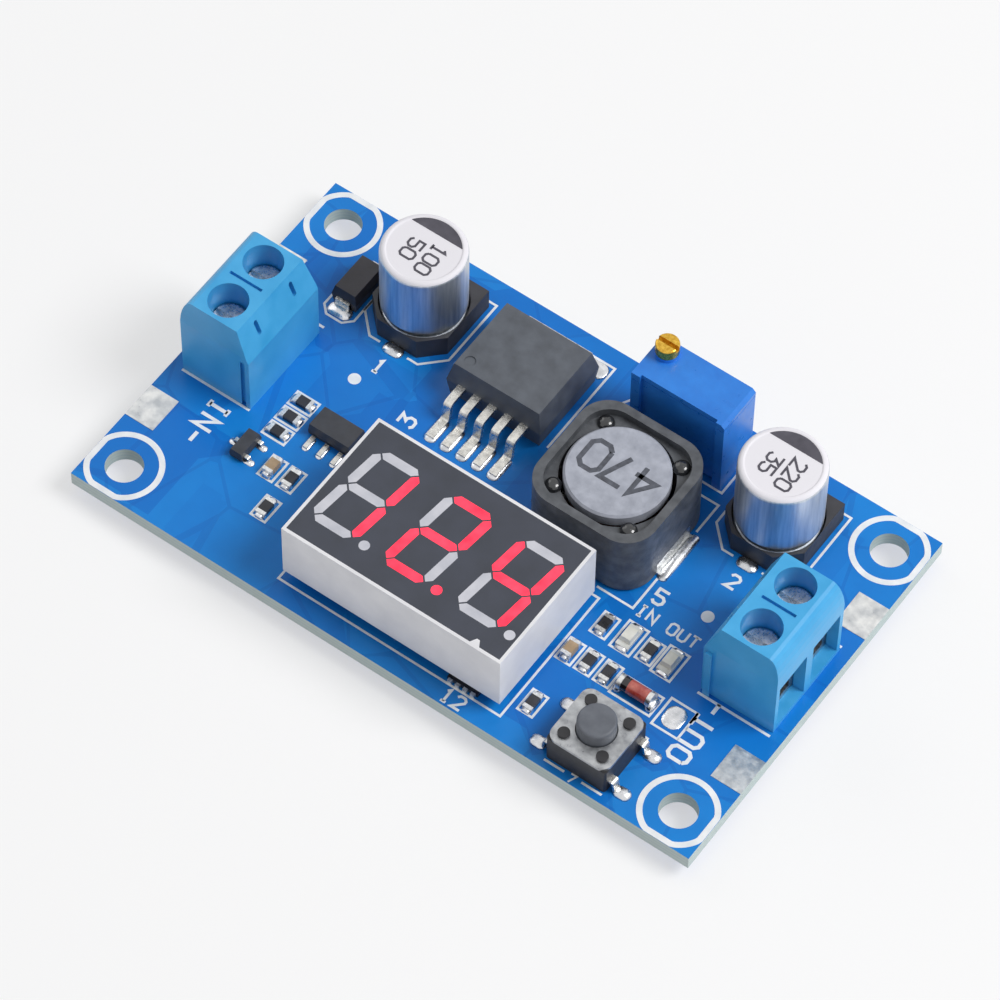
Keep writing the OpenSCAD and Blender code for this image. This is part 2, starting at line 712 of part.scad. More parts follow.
// Places a terminal's pieces, modelled with the wire side at +X, at either end of the board
module at_input(way = 0) {
    translate([-term_x, input_term_y + way, board_t]) rotate([0, 0, 180]) children();
}

module at_output(way = 0) {
    translate([term_x, output_term_y + way, board_t]) children();
}

module input_terminal_housing() {
    at_input() terminal_housing();
}

module output_terminal_housing() {
    at_output() terminal_housing();
}

module input_terminal_contacts() {
    color("silver") for (way = [negative_way, positive_way]) at_input(way) terminal_contact();
}

module output_terminal_contacts() {
    color("silver") for (way = [negative_way, positive_way]) at_output(way) terminal_contact();
}

module terminal_solder() {
    color("silver") difference() {
        solder_cones(term_pins, term_hole_d);
        for (p = term_pins)
            translate([p[0], p[1], pin_bottom]) block(strip_t, term_pin_w, solder_h);
    }
}

// Aluminium capacitors

module cap_can() {
    r = can_d / 2;
    z = cap_base_t + seat_gap / 2;
    neck = r - can_neck;
    roll = z + 2 * can_roll;
    color("white") rotate_extrude() polygon(concat(
        [[0, z], [neck - can_neck / 2, z]],
        arc(r - can_roll, roll, can_roll, -70, 90, 6),
        [[neck, roll + 2 * can_roll], [neck, roll + 3 * can_roll], [r, roll + 4 * can_roll]],
        arc(r - can_round, cap_h - can_round, can_round, 0, 90, 6),
        [[r - can_round - 2 * can_dish, cap_h - can_dish], [0, cap_h - can_dish]]));
}

module cap_base() {
    s = cap_base / 2;
    c = cap_corner;
    color("dimgray") difference() {
        linear_extrude(height = cap_base_t + cap_post_h)
            polygon([[-s + c, -s], [s - c, -s], [s, -s + c], [s, s], [-s, s], [-s, -s + c]]);
        translate([0, 0, cap_base_t]) cylinder(r = can_d / 2 + cap_post_gap, h = cap_post_h + 1);
        for (side = [-1, 1])
            translate([0, side * (s / 2 + cap_lead_in), -1]) block(cap_lead_w, s, 1 + cap_lead_t);
    }
}

module cap_leads() {
    s = cap_base / 2;
    in = cap_lead_in + seat_gap;
    color("silver") for (side = [0, 180]) rotate([0, 0, side])
        translate([-cap_lead_w / 2, in, 0])
            cube([cap_lead_w, s - in + cap_lead_out, cap_lead_t - seat_gap / 2]);
}

module at_part(place) {
    translate([place[0], place[1], board_t]) children();
}

// Regulator

module regulator_body() {
    color("dimgray") at_part(regulator) difference() {
        translate([0, 0, seat_gap]) leaned_block(reg_w, reg_l, reg_h - seat_gap, reg_lead_z, reg_lean);
        translate([0, reg_tab_in / 2, -1]) block(reg_tab_w, reg_l - reg_tab_in + eps, 1 + reg_tab_t);
        translate([-reg_w / 2 + reg_dimple_inset, -reg_l / 2 + reg_dimple_inset, reg_h - reg_dimple_t])
            cylinder(d = reg_dimple_d, h = 1);
        for (i = [-2 : 2])
            translate([i * reg_pitch, -reg_l / 2, reg_lead_z - reg_lead_t / 2])
                block(reg_lead_w, 2 * reg_lead_in, reg_lead_t);
    }
}

module regulator_tab() {
    s = reg_tab_w / 2;
    c = reg_tab_chamfer;
    near = reg_tab_in - reg_l / 2;
    far = reg_l / 2 + reg_tab_out;
    color("lightgray") at_part(regulator) linear_extrude(height = reg_tab_t)
        polygon([[-s, near], [s, near], [s, far - c], [s - c, far], [c - s, far], [-s, far - c]]);
}

module regulator_leads() {
    color("silver") at_part(regulator)
        for (i = [-2 : 2])
            translate([i * reg_pitch + reg_lead_w / 2, -reg_l / 2 + reg_lead_in, 0])
                rotate([90, 0, -90]) linear_extrude(height = reg_lead_w)
                    polygon(gull(reg_lead_z, reg_lead_reach + reg_lead_in, reg_foot, reg_lead_t, 0.4));
}

// Inductor

module inductor_shell() {
    color("slategray") at_part(coil) difference() {
        translate([0, 0, clip_t]) linear_extrude(height = coil_h - clip_t)
            round_rect(coil_side, coil_side, coil_corner);
        translate([0, 0, -1]) cylinder(d = drum_d + 2 * drum_gap, h = coil_h + 2);
        translate([0, 0, coil_h - coil_pocket]) linear_extrude(height = coil_pocket + 1)
            round_rect(pocket_side, pocket_side, pocket_corner);
        for (side = [-1, 1])
            translate([side * (coil_side / 2 - clip_t / 2 + 0.5), 0, 0]) block(clip_t + 1, clip_w, clip_h);
    }
}

module inductor_core() {
    color("silver") at_part(coil) rotate_extrude() polygon([
        [0, clip_t], [drum_d / 2, clip_t], [drum_d / 2, clip_t + drum_flange],
        [drum_post_d / 2, clip_t + drum_flange], [drum_post_d / 2, coil_h - drum_flange],
        [drum_d / 2, coil_h - drum_flange], [drum_d / 2, coil_h - drum_chamfer],
        [drum_d / 2 - drum_chamfer, coil_h], [0, coil_h],
    ]);
}

module inductor_winding() {
    color("chocolate") at_part(coil) rotate_extrude() polygon([
        [drum_post_d / 2 + seat_gap, clip_t + drum_flange + seat_gap],
        [drum_d / 2 - drum_gap, clip_t + drum_flange + seat_gap],
        [drum_d / 2 - drum_gap, coil_h - drum_flange - seat_gap],
        [drum_post_d / 2 + seat_gap, coil_h - drum_flange - seat_gap],
    ]);
}

// Glue spots on the corner pockets, bridging the gap to the drum core
module inductor_glue() {
    reach = (pocket_side / 2 - pocket_corner) * sqrt(2) + pocket_corner;
    r = reach - glue_d / 2 - seat_gap;
    color("black") at_part(coil) for (a = [45 : 90 : 315]) rotate([0, 0, a])
        translate([r, 0, coil_h - coil_pocket]) rotate_extrude()
            polygon(concat([[0, 0]], [for (p = arc(0, 0, glue_d / 2, 0, 90)) [p[0], p[1] * 0.8]]));
}

module inductor_clips() {
    color("silver") at_part(coil) for (side = [0, 180]) rotate([0, 0, side]) {
        translate([coil_side / 2 - clip_t, -clip_w / 2, 0]) cube([clip_t, clip_w, clip_h - seat_gap]);
        translate([drum_d / 2 - clip_in, -clip_w / 2, 0])
            cube([(coil_side - drum_d) / 2 + clip_in + clip_out, clip_w, clip_t]);
    }
}

// Trimmer

module trimmer_body() {
    color("royalblue") at_part(trimmer) difference() {
        union() {
            translate([0, 0, trim_foot]) trimmer_shell(trim_h - trim_foot);
            for (side = [-1, 1])
                translate([side * (trim_l - trim_rib) / 2, 0, 0]) block(trim_rib, trim_w, trim_foot + eps);
            translate([trim_screw[0], trim_screw[1], trim_h - eps])
                cylinder(d = trim_screw_d, h = trim_collar_h + eps);
        }
        translate([trim_screw[0], trim_screw[1], trim_h - trim_neck_in])
            cylinder(d = trim_neck_d + 2 * trim_neck_gap, h = trim_neck_in + 2);
        translate([0, 0, trim_h - trim_lid]) trimmer_seam();
        for (i = [-1 : 1])
            translate([i * trim_pitch, -trim_w / 6, -1])
                cylinder(d = trim_pin_d, h = trim_foot + trim_pin_in + 1);
    }
}

// Body outline with the panel set back between the end ribs, and a sloping end
module trimmer_shell(h) {
    difference() {
        block(trim_l, trim_w, h);
        translate([0, -trim_w / 2, -1])
            block(trim_l - 2 * trim_rib, 2 * trim_panel, h - trim_lid / 2 + 1);
        translate([0, -trim_w / 2, -1]) block(trim_l - 2 * trim_rib, 1.4 * trim_panel, h + 2);
        translate([trim_l / 2, 0, h]) rotate([0, 45, 0])
            cube([trim_chamfer, trim_w + 1, trim_chamfer], center = true);
    }
}

// Fine line where the lid meets the case
module trimmer_seam() {
    d = 2 * trim_seam_d;
    difference() {
        block(trim_l + 1, trim_w + 1, trim_seam_h);
        translate([0, 0, -1]) linear_extrude(height = 3) difference() {
            square([trim_l - d, trim_w - d], center = true);
            translate([0, -trim_w / 2])
                square([trim_l - 2 * trim_rib + d, 2 * trim_panel + d], center = true);
        }
    }
}

module trimmer_screw() {
    r = trim_screw_d / 2;
    neck = trim_neck_d / 2;
    foot = trim_h - trim_neck_in + 0.1;
    low = trim_h + trim_collar_h + seat_gap;
    top = trim_h + trim_screw_out;
    color("goldenrod") at_part(trimmer + trim_screw) difference() {
        rotate_extrude() polygon(concat(
            [[0, foot], [neck, foot], [neck, low], [r, low]],
            arc(r - 0.2, top - 0.2, 0.2, 0, 90, 4), [[0, top]]));
        translate([0, 0, top]) cube([trim_screw_d + 1, trim_slot_w, 2 * trim_slot_d], center = true);
    }
}

module trimmer_pins() {
    color("silver") for (p = trim_pins)
        translate([p[0], p[1], pin_bottom])
            cylinder(d = trim_pin_d, h = board_t - pin_bottom + trim_foot + trim_pin_in);
}

module trimmer_solder() {
    color("silver") difference() {
        solder_cones(trim_pins, trim_hole_d);
        for (p = trim_pins) translate([p[0], p[1], pin_bottom]) cylinder(d = trim_pin_d, h = solder_h);
    }
}

// Meter display

module display_housing() {
    color("white") at_part(display) difference() {
        translate([0, 0, disp_gap]) block(disp_l, disp_w, disp_h);
        translate([0, 0, disp_gap - 1])
            block(disp_l - 6 * disp_rim, disp_w - 6 * disp_rim, 1 + disp_recess);
        translate([0, 0, disp_top - face_t]) linear_extrude(height = 1) face_outline();
        for (row = [-1, 1], i = [0 : 5])
            translate([(i - 2.5) * disp_pitch, row * disp_row / 2, disp_gap])
                cylinder(d = disp_pin_d, h = disp_recess + disp_pin_in);
    }
}

// Dark face with a small index notch in its near edge
module face_outline() {
    w = notch_w / 2;
    difference() {
        square([disp_l - 2 * disp_rim, disp_w - 2 * disp_rim], center = true);
        translate([digit_pitch + notch_w, -disp_w / 2 + disp_rim])
            polygon([[-w, -eps], [w, -eps], [w * 0.3, notch_d], [-w * 0.3, notch_d]]);
    }
}

module display_face() {
    color("darkslategray") at_part(display) translate([0, 0, disp_top - face_t]) difference() {
        linear_extrude(height = face_t) face_outline();
        translate([0, 0, -1]) linear_extrude(height = face_t + 2) {
            digit_bars(1);
            digit_bars(0);
        }
    }
}

// The bars and points whose state is on (1) or off (0)
module digit_bars(on) {
    all = bars();
    for (k = [0 : 2]) translate([(k - 1) * digit_pitch, 0]) {
        for (i = [0 : 6]) if (lit[k][i] == on) polygon(all[i]);
        if (lit_points[k] == on)
            translate(leaned([digit_w / 2 + point_side, -digit_h / 2])) circle(d = point_d);
    }
}

module lit_bars() {
    color("red") at_part(display) translate([0, 0, disp_top - face_t])
        linear_extrude(height = face_t) digit_bars(1);
}

module unlit_bars() {
    color("gainsboro") at_part(display) translate([0, 0, disp_top - face_t])
        linear_extrude(height = face_t) digit_bars(0);
}

module display_pins() {
    color("silver") for (p = disp_pins) translate([p[0], p[1], pin_bottom])
        cylinder(d = disp_pin_d, h = board_t - pin_bottom + disp_gap + disp_recess + disp_pin_in);
}

module display_solder() {
    color("silver") difference() {
        solder_cones(disp_pins, disp_hole_d);
        for (p = disp_pins) translate([p[0], p[1], pin_bottom]) cylinder(d = disp_pin_d, h = solder_h);
    }
}

// Push switch

module switch_base() {
    well = button_flange_t + dome_rise + dome_t + 2 * seat_gap;
    color("black") at_part(push_switch) difference() {
        union() {
            linear_extrude(height = sw_base_h) round_rect(sw_side, sw_side, 0.3);
            for (sx = [-1, 1], sy = [-1, 1])
                translate([sx * rivet_x, sy * rivet_x, 0])
                    cylinder(d = rivet_d, h = sw_base_h + sw_plate_t + rivet_h);
        }
        translate([0, 0, sw_base_h - well]) cylinder(d = well_d, h = well + 1);
        for (sx = [-1, 1], y = [-1, 1] * sw_lead_pitch / 2)
            translate([sx * sw_side / 2, y, sw_lead_z - sw_lead_t / 2])
                block(2 * sw_lead_in, sw_lead_w, sw_lead_t);
    }
}

module switch_cover() {
    color("silver") at_part(push_switch) translate([0, 0, sw_base_h]) difference() {
        linear_extrude(height = sw_plate_t) round_rect(sw_side + 0.06, sw_side + 0.06, rivet_d * 0.9);
        translate([0, 0, -1]) cylinder(d = button_d + 2 * button_gap, h = 3);
        for (sx = [-1, 1], sy = [-1, 1])
            translate([sx * rivet_x, sy * rivet_x, -1]) cylinder(d = rivet_d, h = 3);
    }
}

module switch_button() {
    r = button_d / 2;
    top = sw_base_h + sw_plate_t + button_out;
    color("darkslategray") at_part(push_switch) rotate_extrude() polygon(concat(
        [[0, flange_top - button_flange_t], [r + button_flange, flange_top - button_flange_t],
            [r + button_flange, flange_top], [r, flange_top]],
        arc(r - button_round, top - button_round, button_round, 0, 90, 4), [[0, top]]));
}

// Snap dome: a shallow sprung cap under the button
module switch_dome() {
    r = well_d / 2 - dome_gap;
    rise = dome_rise;
    ball = (r * r + rise * rise) / (2 * rise);
    top = flange_top - button_flange_t - seat_gap;
    half = asin(r / ball);
    color("gold") at_part(push_switch) translate([0, 0, top - ball]) rotate_extrude()
        polygon(concat(arc(0, 0, ball, 90, 90 - half, 10), arc(0, 0, ball - dome_t, 90 - half, 90, 10)));
}

module switch_leads() {
    color("silver") at_part(push_switch) for (side = [0, 180]) rotate([0, 0, side])
        for (y = [-1, 1] * sw_lead_pitch / 2)
            translate([sw_side / 2 - sw_lead_in, y + sw_lead_w / 2, 0]) rotate([90, 0, 0])
                linear_extrude(height = sw_lead_w)
                    polygon(gull(sw_lead_z, sw_lead_out + sw_lead_in, sw_lead_foot, sw_lead_t, 0.2));
}

// Diodes

module input_diode_body() {
    color("black") at_part(input_diode) difference() {
        translate([0, 0, seat_gap])
            leaned_block(diode_w, diode_l - 0.6, diode_h - seat_gap, diode_h / 2, 0.25);
        for (side = [-1, 1])
            translate([0, side * diode_l / 2, -1]) block(
                diode_lead_w + 2 * seat_gap, 2 * (diode_lead_in + seat_gap), 1 + diode_lead_z + seat_gap);
    }
}

module input_diode_leads() {
    w = diode_lead_w;
    d = diode_lead_t;
    color("silver") at_part(input_diode) for (side = [0, 180]) rotate([0, 0, side])
        translate([w / 2, diode_l / 2, 0]) rotate([90, 0, -90]) linear_extrude(height = w)
            difference() {
                translate([0, 0]) square([diode_lead_in, diode_lead_z]);
                translate([d, d]) square([diode_lead_in, diode_lead_z - 2 * d]);
            }
}

module glass_diode_body() {
    color("salmon") at_part(glass_diode) translate([0, 0, glass_d / 2]) rotate([0, 90, 0])
        cylinder(d = glass_d - 0.1, h = glass_l - 2 * glass_cap, center = true);
}

module glass_diode_caps() {
    color("silver") at_part(glass_diode) translate([0, 0, glass_d / 2])
        for (side = [0, 180]) rotate([0, 90, side])
            translate([0, 0, glass_l / 2 - glass_cap]) cylinder(d = glass_d, h = glass_cap);
}

// Chip parts

module at_each_resistor() {
    for (p = flat_resistors) at_part(p) children();
    for (p = upright_resistors) at_part(p) rotate([0, 0, 90]) children();
}

// The middle of a chip part, and its two metal ends
module chip_middle(h) {
    translate([0, 0, end_proud])
        block(chip_l - 2 * chip_end, chip_w - 2 * end_proud, h - 2 * end_proud);
}

module chip_ends(h) {
    for (side = [-1, 1])
        translate([side * (chip_l - chip_end) / 2, 0, 0]) block(chip_end, chip_w, h);
}

module chip_resistors() {
    color("dimgray") at_each_resistor() chip_middle(chip_resistor_h);
}

module chip_resistor_ends() {
    color("silver") at_each_resistor() chip_ends(chip_resistor_h);
}

module chip_capacitors() {
    color("tan") for (p = capacitor_chips) at_part(p) rotate([0, 0, 90]) chip_middle(chip_capacitor_h);
}

module chip_capacitor_ends() {
    color("silver") for (p = capacitor_chips) at_part(p) rotate([0, 0, 90]) chip_ends(chip_capacitor_h);
}

// Transistors

module transistor_bodies() {
    color("dimgray") {
        at_part(small_transistor) moulded_chip(small_w, small_l, small_h);
        at_part(wide_transistor) moulded_chip(wide_l, wide_w, wide_h);
    }
}

module moulded_chip(x, y, h) {
    translate([0, 0, chip_lift]) leaned_block(x, y, h - chip_lift, fine_lead_z - chip_lift, chip_lean);
}

module transistor_leads() {
    w = wide_pitch * 0.3;
    color("silver") {
        at_part(small_transistor) {
            rotate([0, 0, 180]) fine_lead(small_w / 2, 0, small_pitch * 0.42);
            for (y = [-small_pitch, small_pitch]) fine_lead(small_w / 2, y, small_pitch * 0.42);
        }
        at_part(wide_transistor) for (i = [-1 : 1])
            translate([i * wide_pitch, -(wide_w + wide_lead_out) / 2, 0])
                block(w, wide_lead_out - 2 * chip_lean, wide_lead_t);
    }
}

// A bent lead of width w that leaves a chip's side x at y
module fine_lead(x, y, w) {
    translate([x, y + w / 2, 0]) rotate([90, 0, 0]) linear_extrude(height = w)
        polygon(gull(fine_lead_z, fine_reach, fine_foot, fine_lead_t, fine_lead_t));
}

// Indicator lamps

module indicator_lamps() {
    color("ivory") for (p = lamps) at_part(p)
        translate([0, 0, lamp_h * 0.4]) leaned_block(lamp_w - 0.1, lamp_l * 0.62, lamp_h * 0.6, 0.05, 0.12);
}

module indicator_lamp_bases() {
    color("whitesmoke") for (p = lamps) at_part(p) block(lamp_w, lamp_l, lamp_h * 0.4);
}

// Parts under the display

array_end_w = array_pitch * 0.55;
array_end_l = array_w * 0.3;
array_spot = [
    display[0] + disp_pitch * 3,
    display[1] - (disp_row + disp_pin_d + array_w) / 2 - array_end_l - array_pin_gap,
];

module resistor_array() {
    color("dimgray") at_part(array_spot) translate([0, 0, chip_lift / 2])
        block(array_l, array_w, array_h - chip_lift / 2);
}

module resistor_array_ends() {
    color("silver") at_part(array_spot) for (i = [-1.5 : 1.5], side = [-1, 1])
        translate([i * array_pitch, side * (array_w + array_end_l) / 2, 0])
            block(array_end_w, array_end_l, array_h);
}

module meter_chip() {
    color("dimgray") at_part(display) moulded_chip(meter_l, meter_w, meter_h);
}

module meter_chip_leads() {
    color("silver") at_part(display) for (side = [90, 270]) rotate([0, 0, side])
        for (i = [-4.5 : 4.5]) fine_lead(meter_w / 2, i * meter_pitch, meter_pitch * 0.37);
}

circuit_board();
edge_pads();
input_terminal_housing();
output_terminal_housing();
input_terminal_contacts();
output_terminal_contacts();
at_input(negative_way) wire_clamp();  // input_negative_clamp
at_input(positive_way) wire_clamp();  // input_positive_clamp
at_output(negative_way) wire_clamp();  // output_negative_clamp
at_output(positive_way) wire_clamp();  // output_positive_clamp
at_input(negative_way) clamp_screw();  // input_negative_screw
at_input(positive_way) clamp_screw();  // input_positive_screw
at_output(negative_way) clamp_screw();  // output_negative_screw
at_output(positive_way) clamp_screw();  // output_positive_screw
terminal_solder();
at_part(input_cap) cap_can();  // input_capacitor_can
at_part(input_cap) cap_base();  // input_capacitor_base
at_part(input_cap) cap_leads();  // input_capacitor_leads
at_part(output_cap) cap_can();  // output_capacitor_can
at_part(output_cap) cap_base();  // output_capacitor_base
at_part(output_cap) cap_leads();  // output_capacitor_leads
regulator_body();
regulator_tab();
regulator_leads();
inductor_shell();
inductor_core();
inductor_winding();
inductor_glue();
inductor_clips();
trimmer_body();
trimmer_screw();
trimmer_pins();
trimmer_solder();
display_housing();
display_face();
lit_bars();
unlit_bars();
display_pins();
display_solder();
switch_base();
switch_cover();
switch_button();
switch_dome();
switch_leads();
input_diode_body();
input_diode_leads();
glass_diode_body();
glass_diode_caps();
chip_resistors();
chip_resistor_ends();
chip_capacitors();
chip_capacitor_ends();
transistor_bodies();
transistor_leads();
indicator_lamps();
indicator_lamp_bases();
resistor_array();
resistor_array_ends();
meter_chip();
meter_chip_leads();
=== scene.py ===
import json
import math

import bmesh
import bpy
from mathutils import Matrix, Vector


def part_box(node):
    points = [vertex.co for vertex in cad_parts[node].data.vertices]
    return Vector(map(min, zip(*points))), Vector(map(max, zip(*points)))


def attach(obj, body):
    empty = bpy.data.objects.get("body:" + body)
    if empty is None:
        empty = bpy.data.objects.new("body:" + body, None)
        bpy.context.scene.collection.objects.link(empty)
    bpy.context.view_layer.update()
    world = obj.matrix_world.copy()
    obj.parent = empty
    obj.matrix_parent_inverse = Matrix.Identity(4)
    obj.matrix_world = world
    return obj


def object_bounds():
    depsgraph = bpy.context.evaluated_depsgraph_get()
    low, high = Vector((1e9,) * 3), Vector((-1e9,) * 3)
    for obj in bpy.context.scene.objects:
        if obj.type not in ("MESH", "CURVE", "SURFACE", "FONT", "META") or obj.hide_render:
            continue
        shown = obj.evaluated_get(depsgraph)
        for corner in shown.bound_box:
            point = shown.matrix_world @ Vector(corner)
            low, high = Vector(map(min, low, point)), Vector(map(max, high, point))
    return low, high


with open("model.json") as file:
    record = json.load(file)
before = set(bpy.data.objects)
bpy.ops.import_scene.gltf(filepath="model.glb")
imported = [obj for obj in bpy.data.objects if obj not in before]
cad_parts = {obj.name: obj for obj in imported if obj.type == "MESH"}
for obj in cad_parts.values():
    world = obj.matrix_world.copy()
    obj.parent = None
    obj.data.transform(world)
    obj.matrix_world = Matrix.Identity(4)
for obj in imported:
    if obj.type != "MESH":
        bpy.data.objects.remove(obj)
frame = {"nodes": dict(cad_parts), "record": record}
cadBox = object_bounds()
print("frame loaded")

mm = 0.001
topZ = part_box("circuit_board")[1].z / mm  # component side of the board, in mm


# Places, all read from the frame, in mm

def boxOf(node):
    lo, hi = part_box(node)
    return lo / mm, hi / mm


def middleOf(node):
    lo, hi = boxOf(node)
    return (lo + hi) / 2


def solidsOf(node):
    # boxes of a node's separate solids, from -X to +X
    shape = bmesh.new()
    shape.from_mesh(frame["nodes"][node].data)
    bmesh.ops.remove_doubles(shape, verts=shape.verts, dist=1e-7)
    left, found = set(shape.verts), []
    while left:
        todo = [left.pop()]
        lo, hi = todo[0].co.copy(), todo[0].co.copy()
        while todo:
            v = todo.pop()
            lo, hi = Vector(map(min, lo, v.co)), Vector(map(max, hi, v.co))
            for e in v.link_edges:
                w = e.other_vert(v)
                if w in left:
                    left.remove(w)
                    todo.append(w)
        found.append((lo / mm, hi / mm))
    shape.free()
    return sorted(found, key=lambda b: (round(b[0].x, 3), round(b[0].y, 3)))


def partsOf(endsNode):
    # boxes of parts that are each two metal ends: ends that face each other are joined into one box
    ends = solidsOf(endsNode)
    parts = []
    while ends:
        a = ends.pop(0)
        mid = (a[0] + a[1]) / 2
        b = min(ends, key=lambda e: ((e[0] + e[1]) / 2 - mid).length)
        ends.remove(b)
        parts.append((Vector(map(min, a[0], b[0])), Vector(map(max, a[1], b[1]))))
    return parts


# Materials

def srgb(r, g, b):
    # a colour as it reads on a screen, 0 to 255, as Blender's linear value
    def linear(c):
        c /= 255
        return c / 12.92 if c <= 0.04045 else ((c + 0.055) / 1.055) ** 2.4
    return (linear(r), linear(g), linear(b), 1)


class Finish:
    # a material with its node tree and a few short ways to wire it

    def __init__(self, name, colour, rough=0.5, metal=0.0, **sockets):
        self.material = bpy.data.materials.new(name)
        self.material.use_nodes = True
        self.nodes = self.material.node_tree.nodes
        self.links = self.material.node_tree.links
        self.shader = self.nodes["Principled BSDF"]
        self.shader.inputs["Base Color"].default_value = colour
        self.shader.inputs["Roughness"].default_value = rough
        self.shader.inputs["Metallic"].default_value = metal
        for socket, value in sockets.items():
            self.shader.inputs[socket.replace("_", " ")].default_value = value
        self.place = self.nodes.new("ShaderNodeTexCoord").outputs["Object"]

    def join(self, a, b):
        self.links.new(a, b)

    def add(self, kind, **settings):
        node = self.nodes.new("ShaderNode" + kind)
        for key, value in settings.items():
            setattr(node, key, value)
        return node

    def grain(self, size, detail=4, stretch=None, rough=0.55):
        # noise with features of about size mm
        noise = self.add("TexNoise")
        noise.inputs["Scale"].default_value = 1 / (size * mm)
        noise.inputs["Detail"].default_value = detail
        noise.inputs["Roughness"].default_value = rough
        source = self.place
        if stretch:
            mapping = self.add("Mapping")
            mapping.inputs["Scale"].default_value = stretch
            self.join(self.place, mapping.inputs["Vector"])
            source = mapping.outputs["Vector"]
        self.join(source, noise.inputs["Vector"])
        return noise.outputs["Fac"]

    def ramp(self, source, *stops):
        # stops are (place, colour or grey)
        ramp = self.add("ValToRGB")
        while len(ramp.color_ramp.elements) < len(stops):
            ramp.color_ramp.elements.new(0.5)
        for element, (place, colour) in zip(ramp.color_ramp.elements, stops):
            element.position = place
            element.color = colour if isinstance(colour, tuple) else (colour, colour, colour, 1)
        self.join(source, ramp.inputs["Fac"])
        return ramp.outputs["Color"]

    def math(self, operation, a, b=0.0):
        node = self.add("Math", operation=operation)
        for socket, value in zip(node.inputs, (a, b)):
            if isinstance(value, (int, float)):
                socket.default_value = value
            else:
                self.join(value, socket)
        return node.outputs["Value"]

    def blend(self, factor, a, b):
        node = self.add("Mix", data_type="RGBA", blend_type="MIX")
        for socket, value in ((node.inputs[0], factor), (node.inputs[6], a), (node.inputs[7], b)):
            if isinstance(value, (int, float, tuple)):
                socket.default_value = value
            else:
                self.join(value, socket)
        return node.outputs[2]

    def colour(self, source):
        self.join(source, self.shader.inputs["Base Color"])

    def vary(self, low, high, size, stretch=None):
        # colour that drifts between two tones
        self.colour(self.ramp(self.grain(size, stretch=stretch), (0.3, low), (0.7, high)))

    def roughness(self, low, high, size, stretch=None):
        grey = self.ramp(self.grain(size, stretch=stretch), (0.3, low), (0.7, high))
        self.join(grey, self.shader.inputs["Roughness"])

    def bump(self, height, depth, strength=0.3, after=None):
        node = self.add("Bump")
        node.inputs["Distance"].default_value = depth * mm
        node.inputs["Strength"].default_value = strength
        self.join(height, node.inputs["Height"])
        if after:
            self.join(after.outputs["Normal"], node.inputs["Normal"])
        self.join(node.outputs["Normal"], self.shader.inputs["Normal"])
        return node

    def axes(self, source=None):
        split = self.add("SeparateXYZ")
        self.join(source or self.place, split.inputs[0])
        return split.outputs

    def facing(self):
        # the surface's own direction, X, Y and Z
        return self.axes(self.add("NewGeometry").outputs["Normal"])


def moulded(name, dark, light, rough=0.5, grainSize=0.12, depth=0.02, mottle=1.5, **sockets):
    # moulded plastic: tone that drifts a little, fine skin texture
    f = Finish(name, light, rough, **sockets)
    f.vary(dark, light, mottle)
    f.roughness(rough - 0.06, rough + 0.08, mottle / 2)
    f.bump(f.grain(grainSize, detail=2), depth)
    return f.material


def plated(name, dark, light, rough=0.3, brushed=None, depth=0.01, size=0.5):
    # tinned or plated metal: cloudy tone, faint drawing lines along one way
    f = Finish(name, light, rough, metal=1.0)
    f.vary(dark, light, size)
    f.roughness(rough - 0.08, rough + 0.12, size / 2)
    f.bump(f.grain(size / 4, stretch=brushed), depth, 0.4)
    return f.material


def ferrite(name, dark, light, rough, pits=0.25):
    # pressed ferrite: drifting tone and fine pits
    f = Finish(name, light, rough)
    f.vary(dark, light, 1.2)
    f.roughness(rough - 0.1, rough + 0.1, 0.8)
    f.bump(f.grain(pits, detail=6), 0.03, 0.5)
    return f.material


boardLook = {
    "mask": srgb(12, 116, 204),
    "pour": srgb(22, 132, 216),
    "deep": srgb(8, 92, 180),
    "core": srgb(196, 208, 206),  # glass-fibre layers on the sawn edges
    "layer": srgb(168, 190, 196),
    "layerPitch": 0.7,  # layers per mm
    "gloss": 0.3,
    "sawn": 0.75,  # roughness of the edges
    "pourSize": 7.5,  # mm across a copper pour
    "cutWidth": 0.02,  # bare lines between pours, as a share of a pour
    "cutShade": 0.3,
    "cutDepth": 0.02,
    "cloudSize": 3.5,
    "cloudShade": 0.22,
    "weave": 2.2,  # mm between bundles of glass thread
    "weaveDepth": 0.008,
}


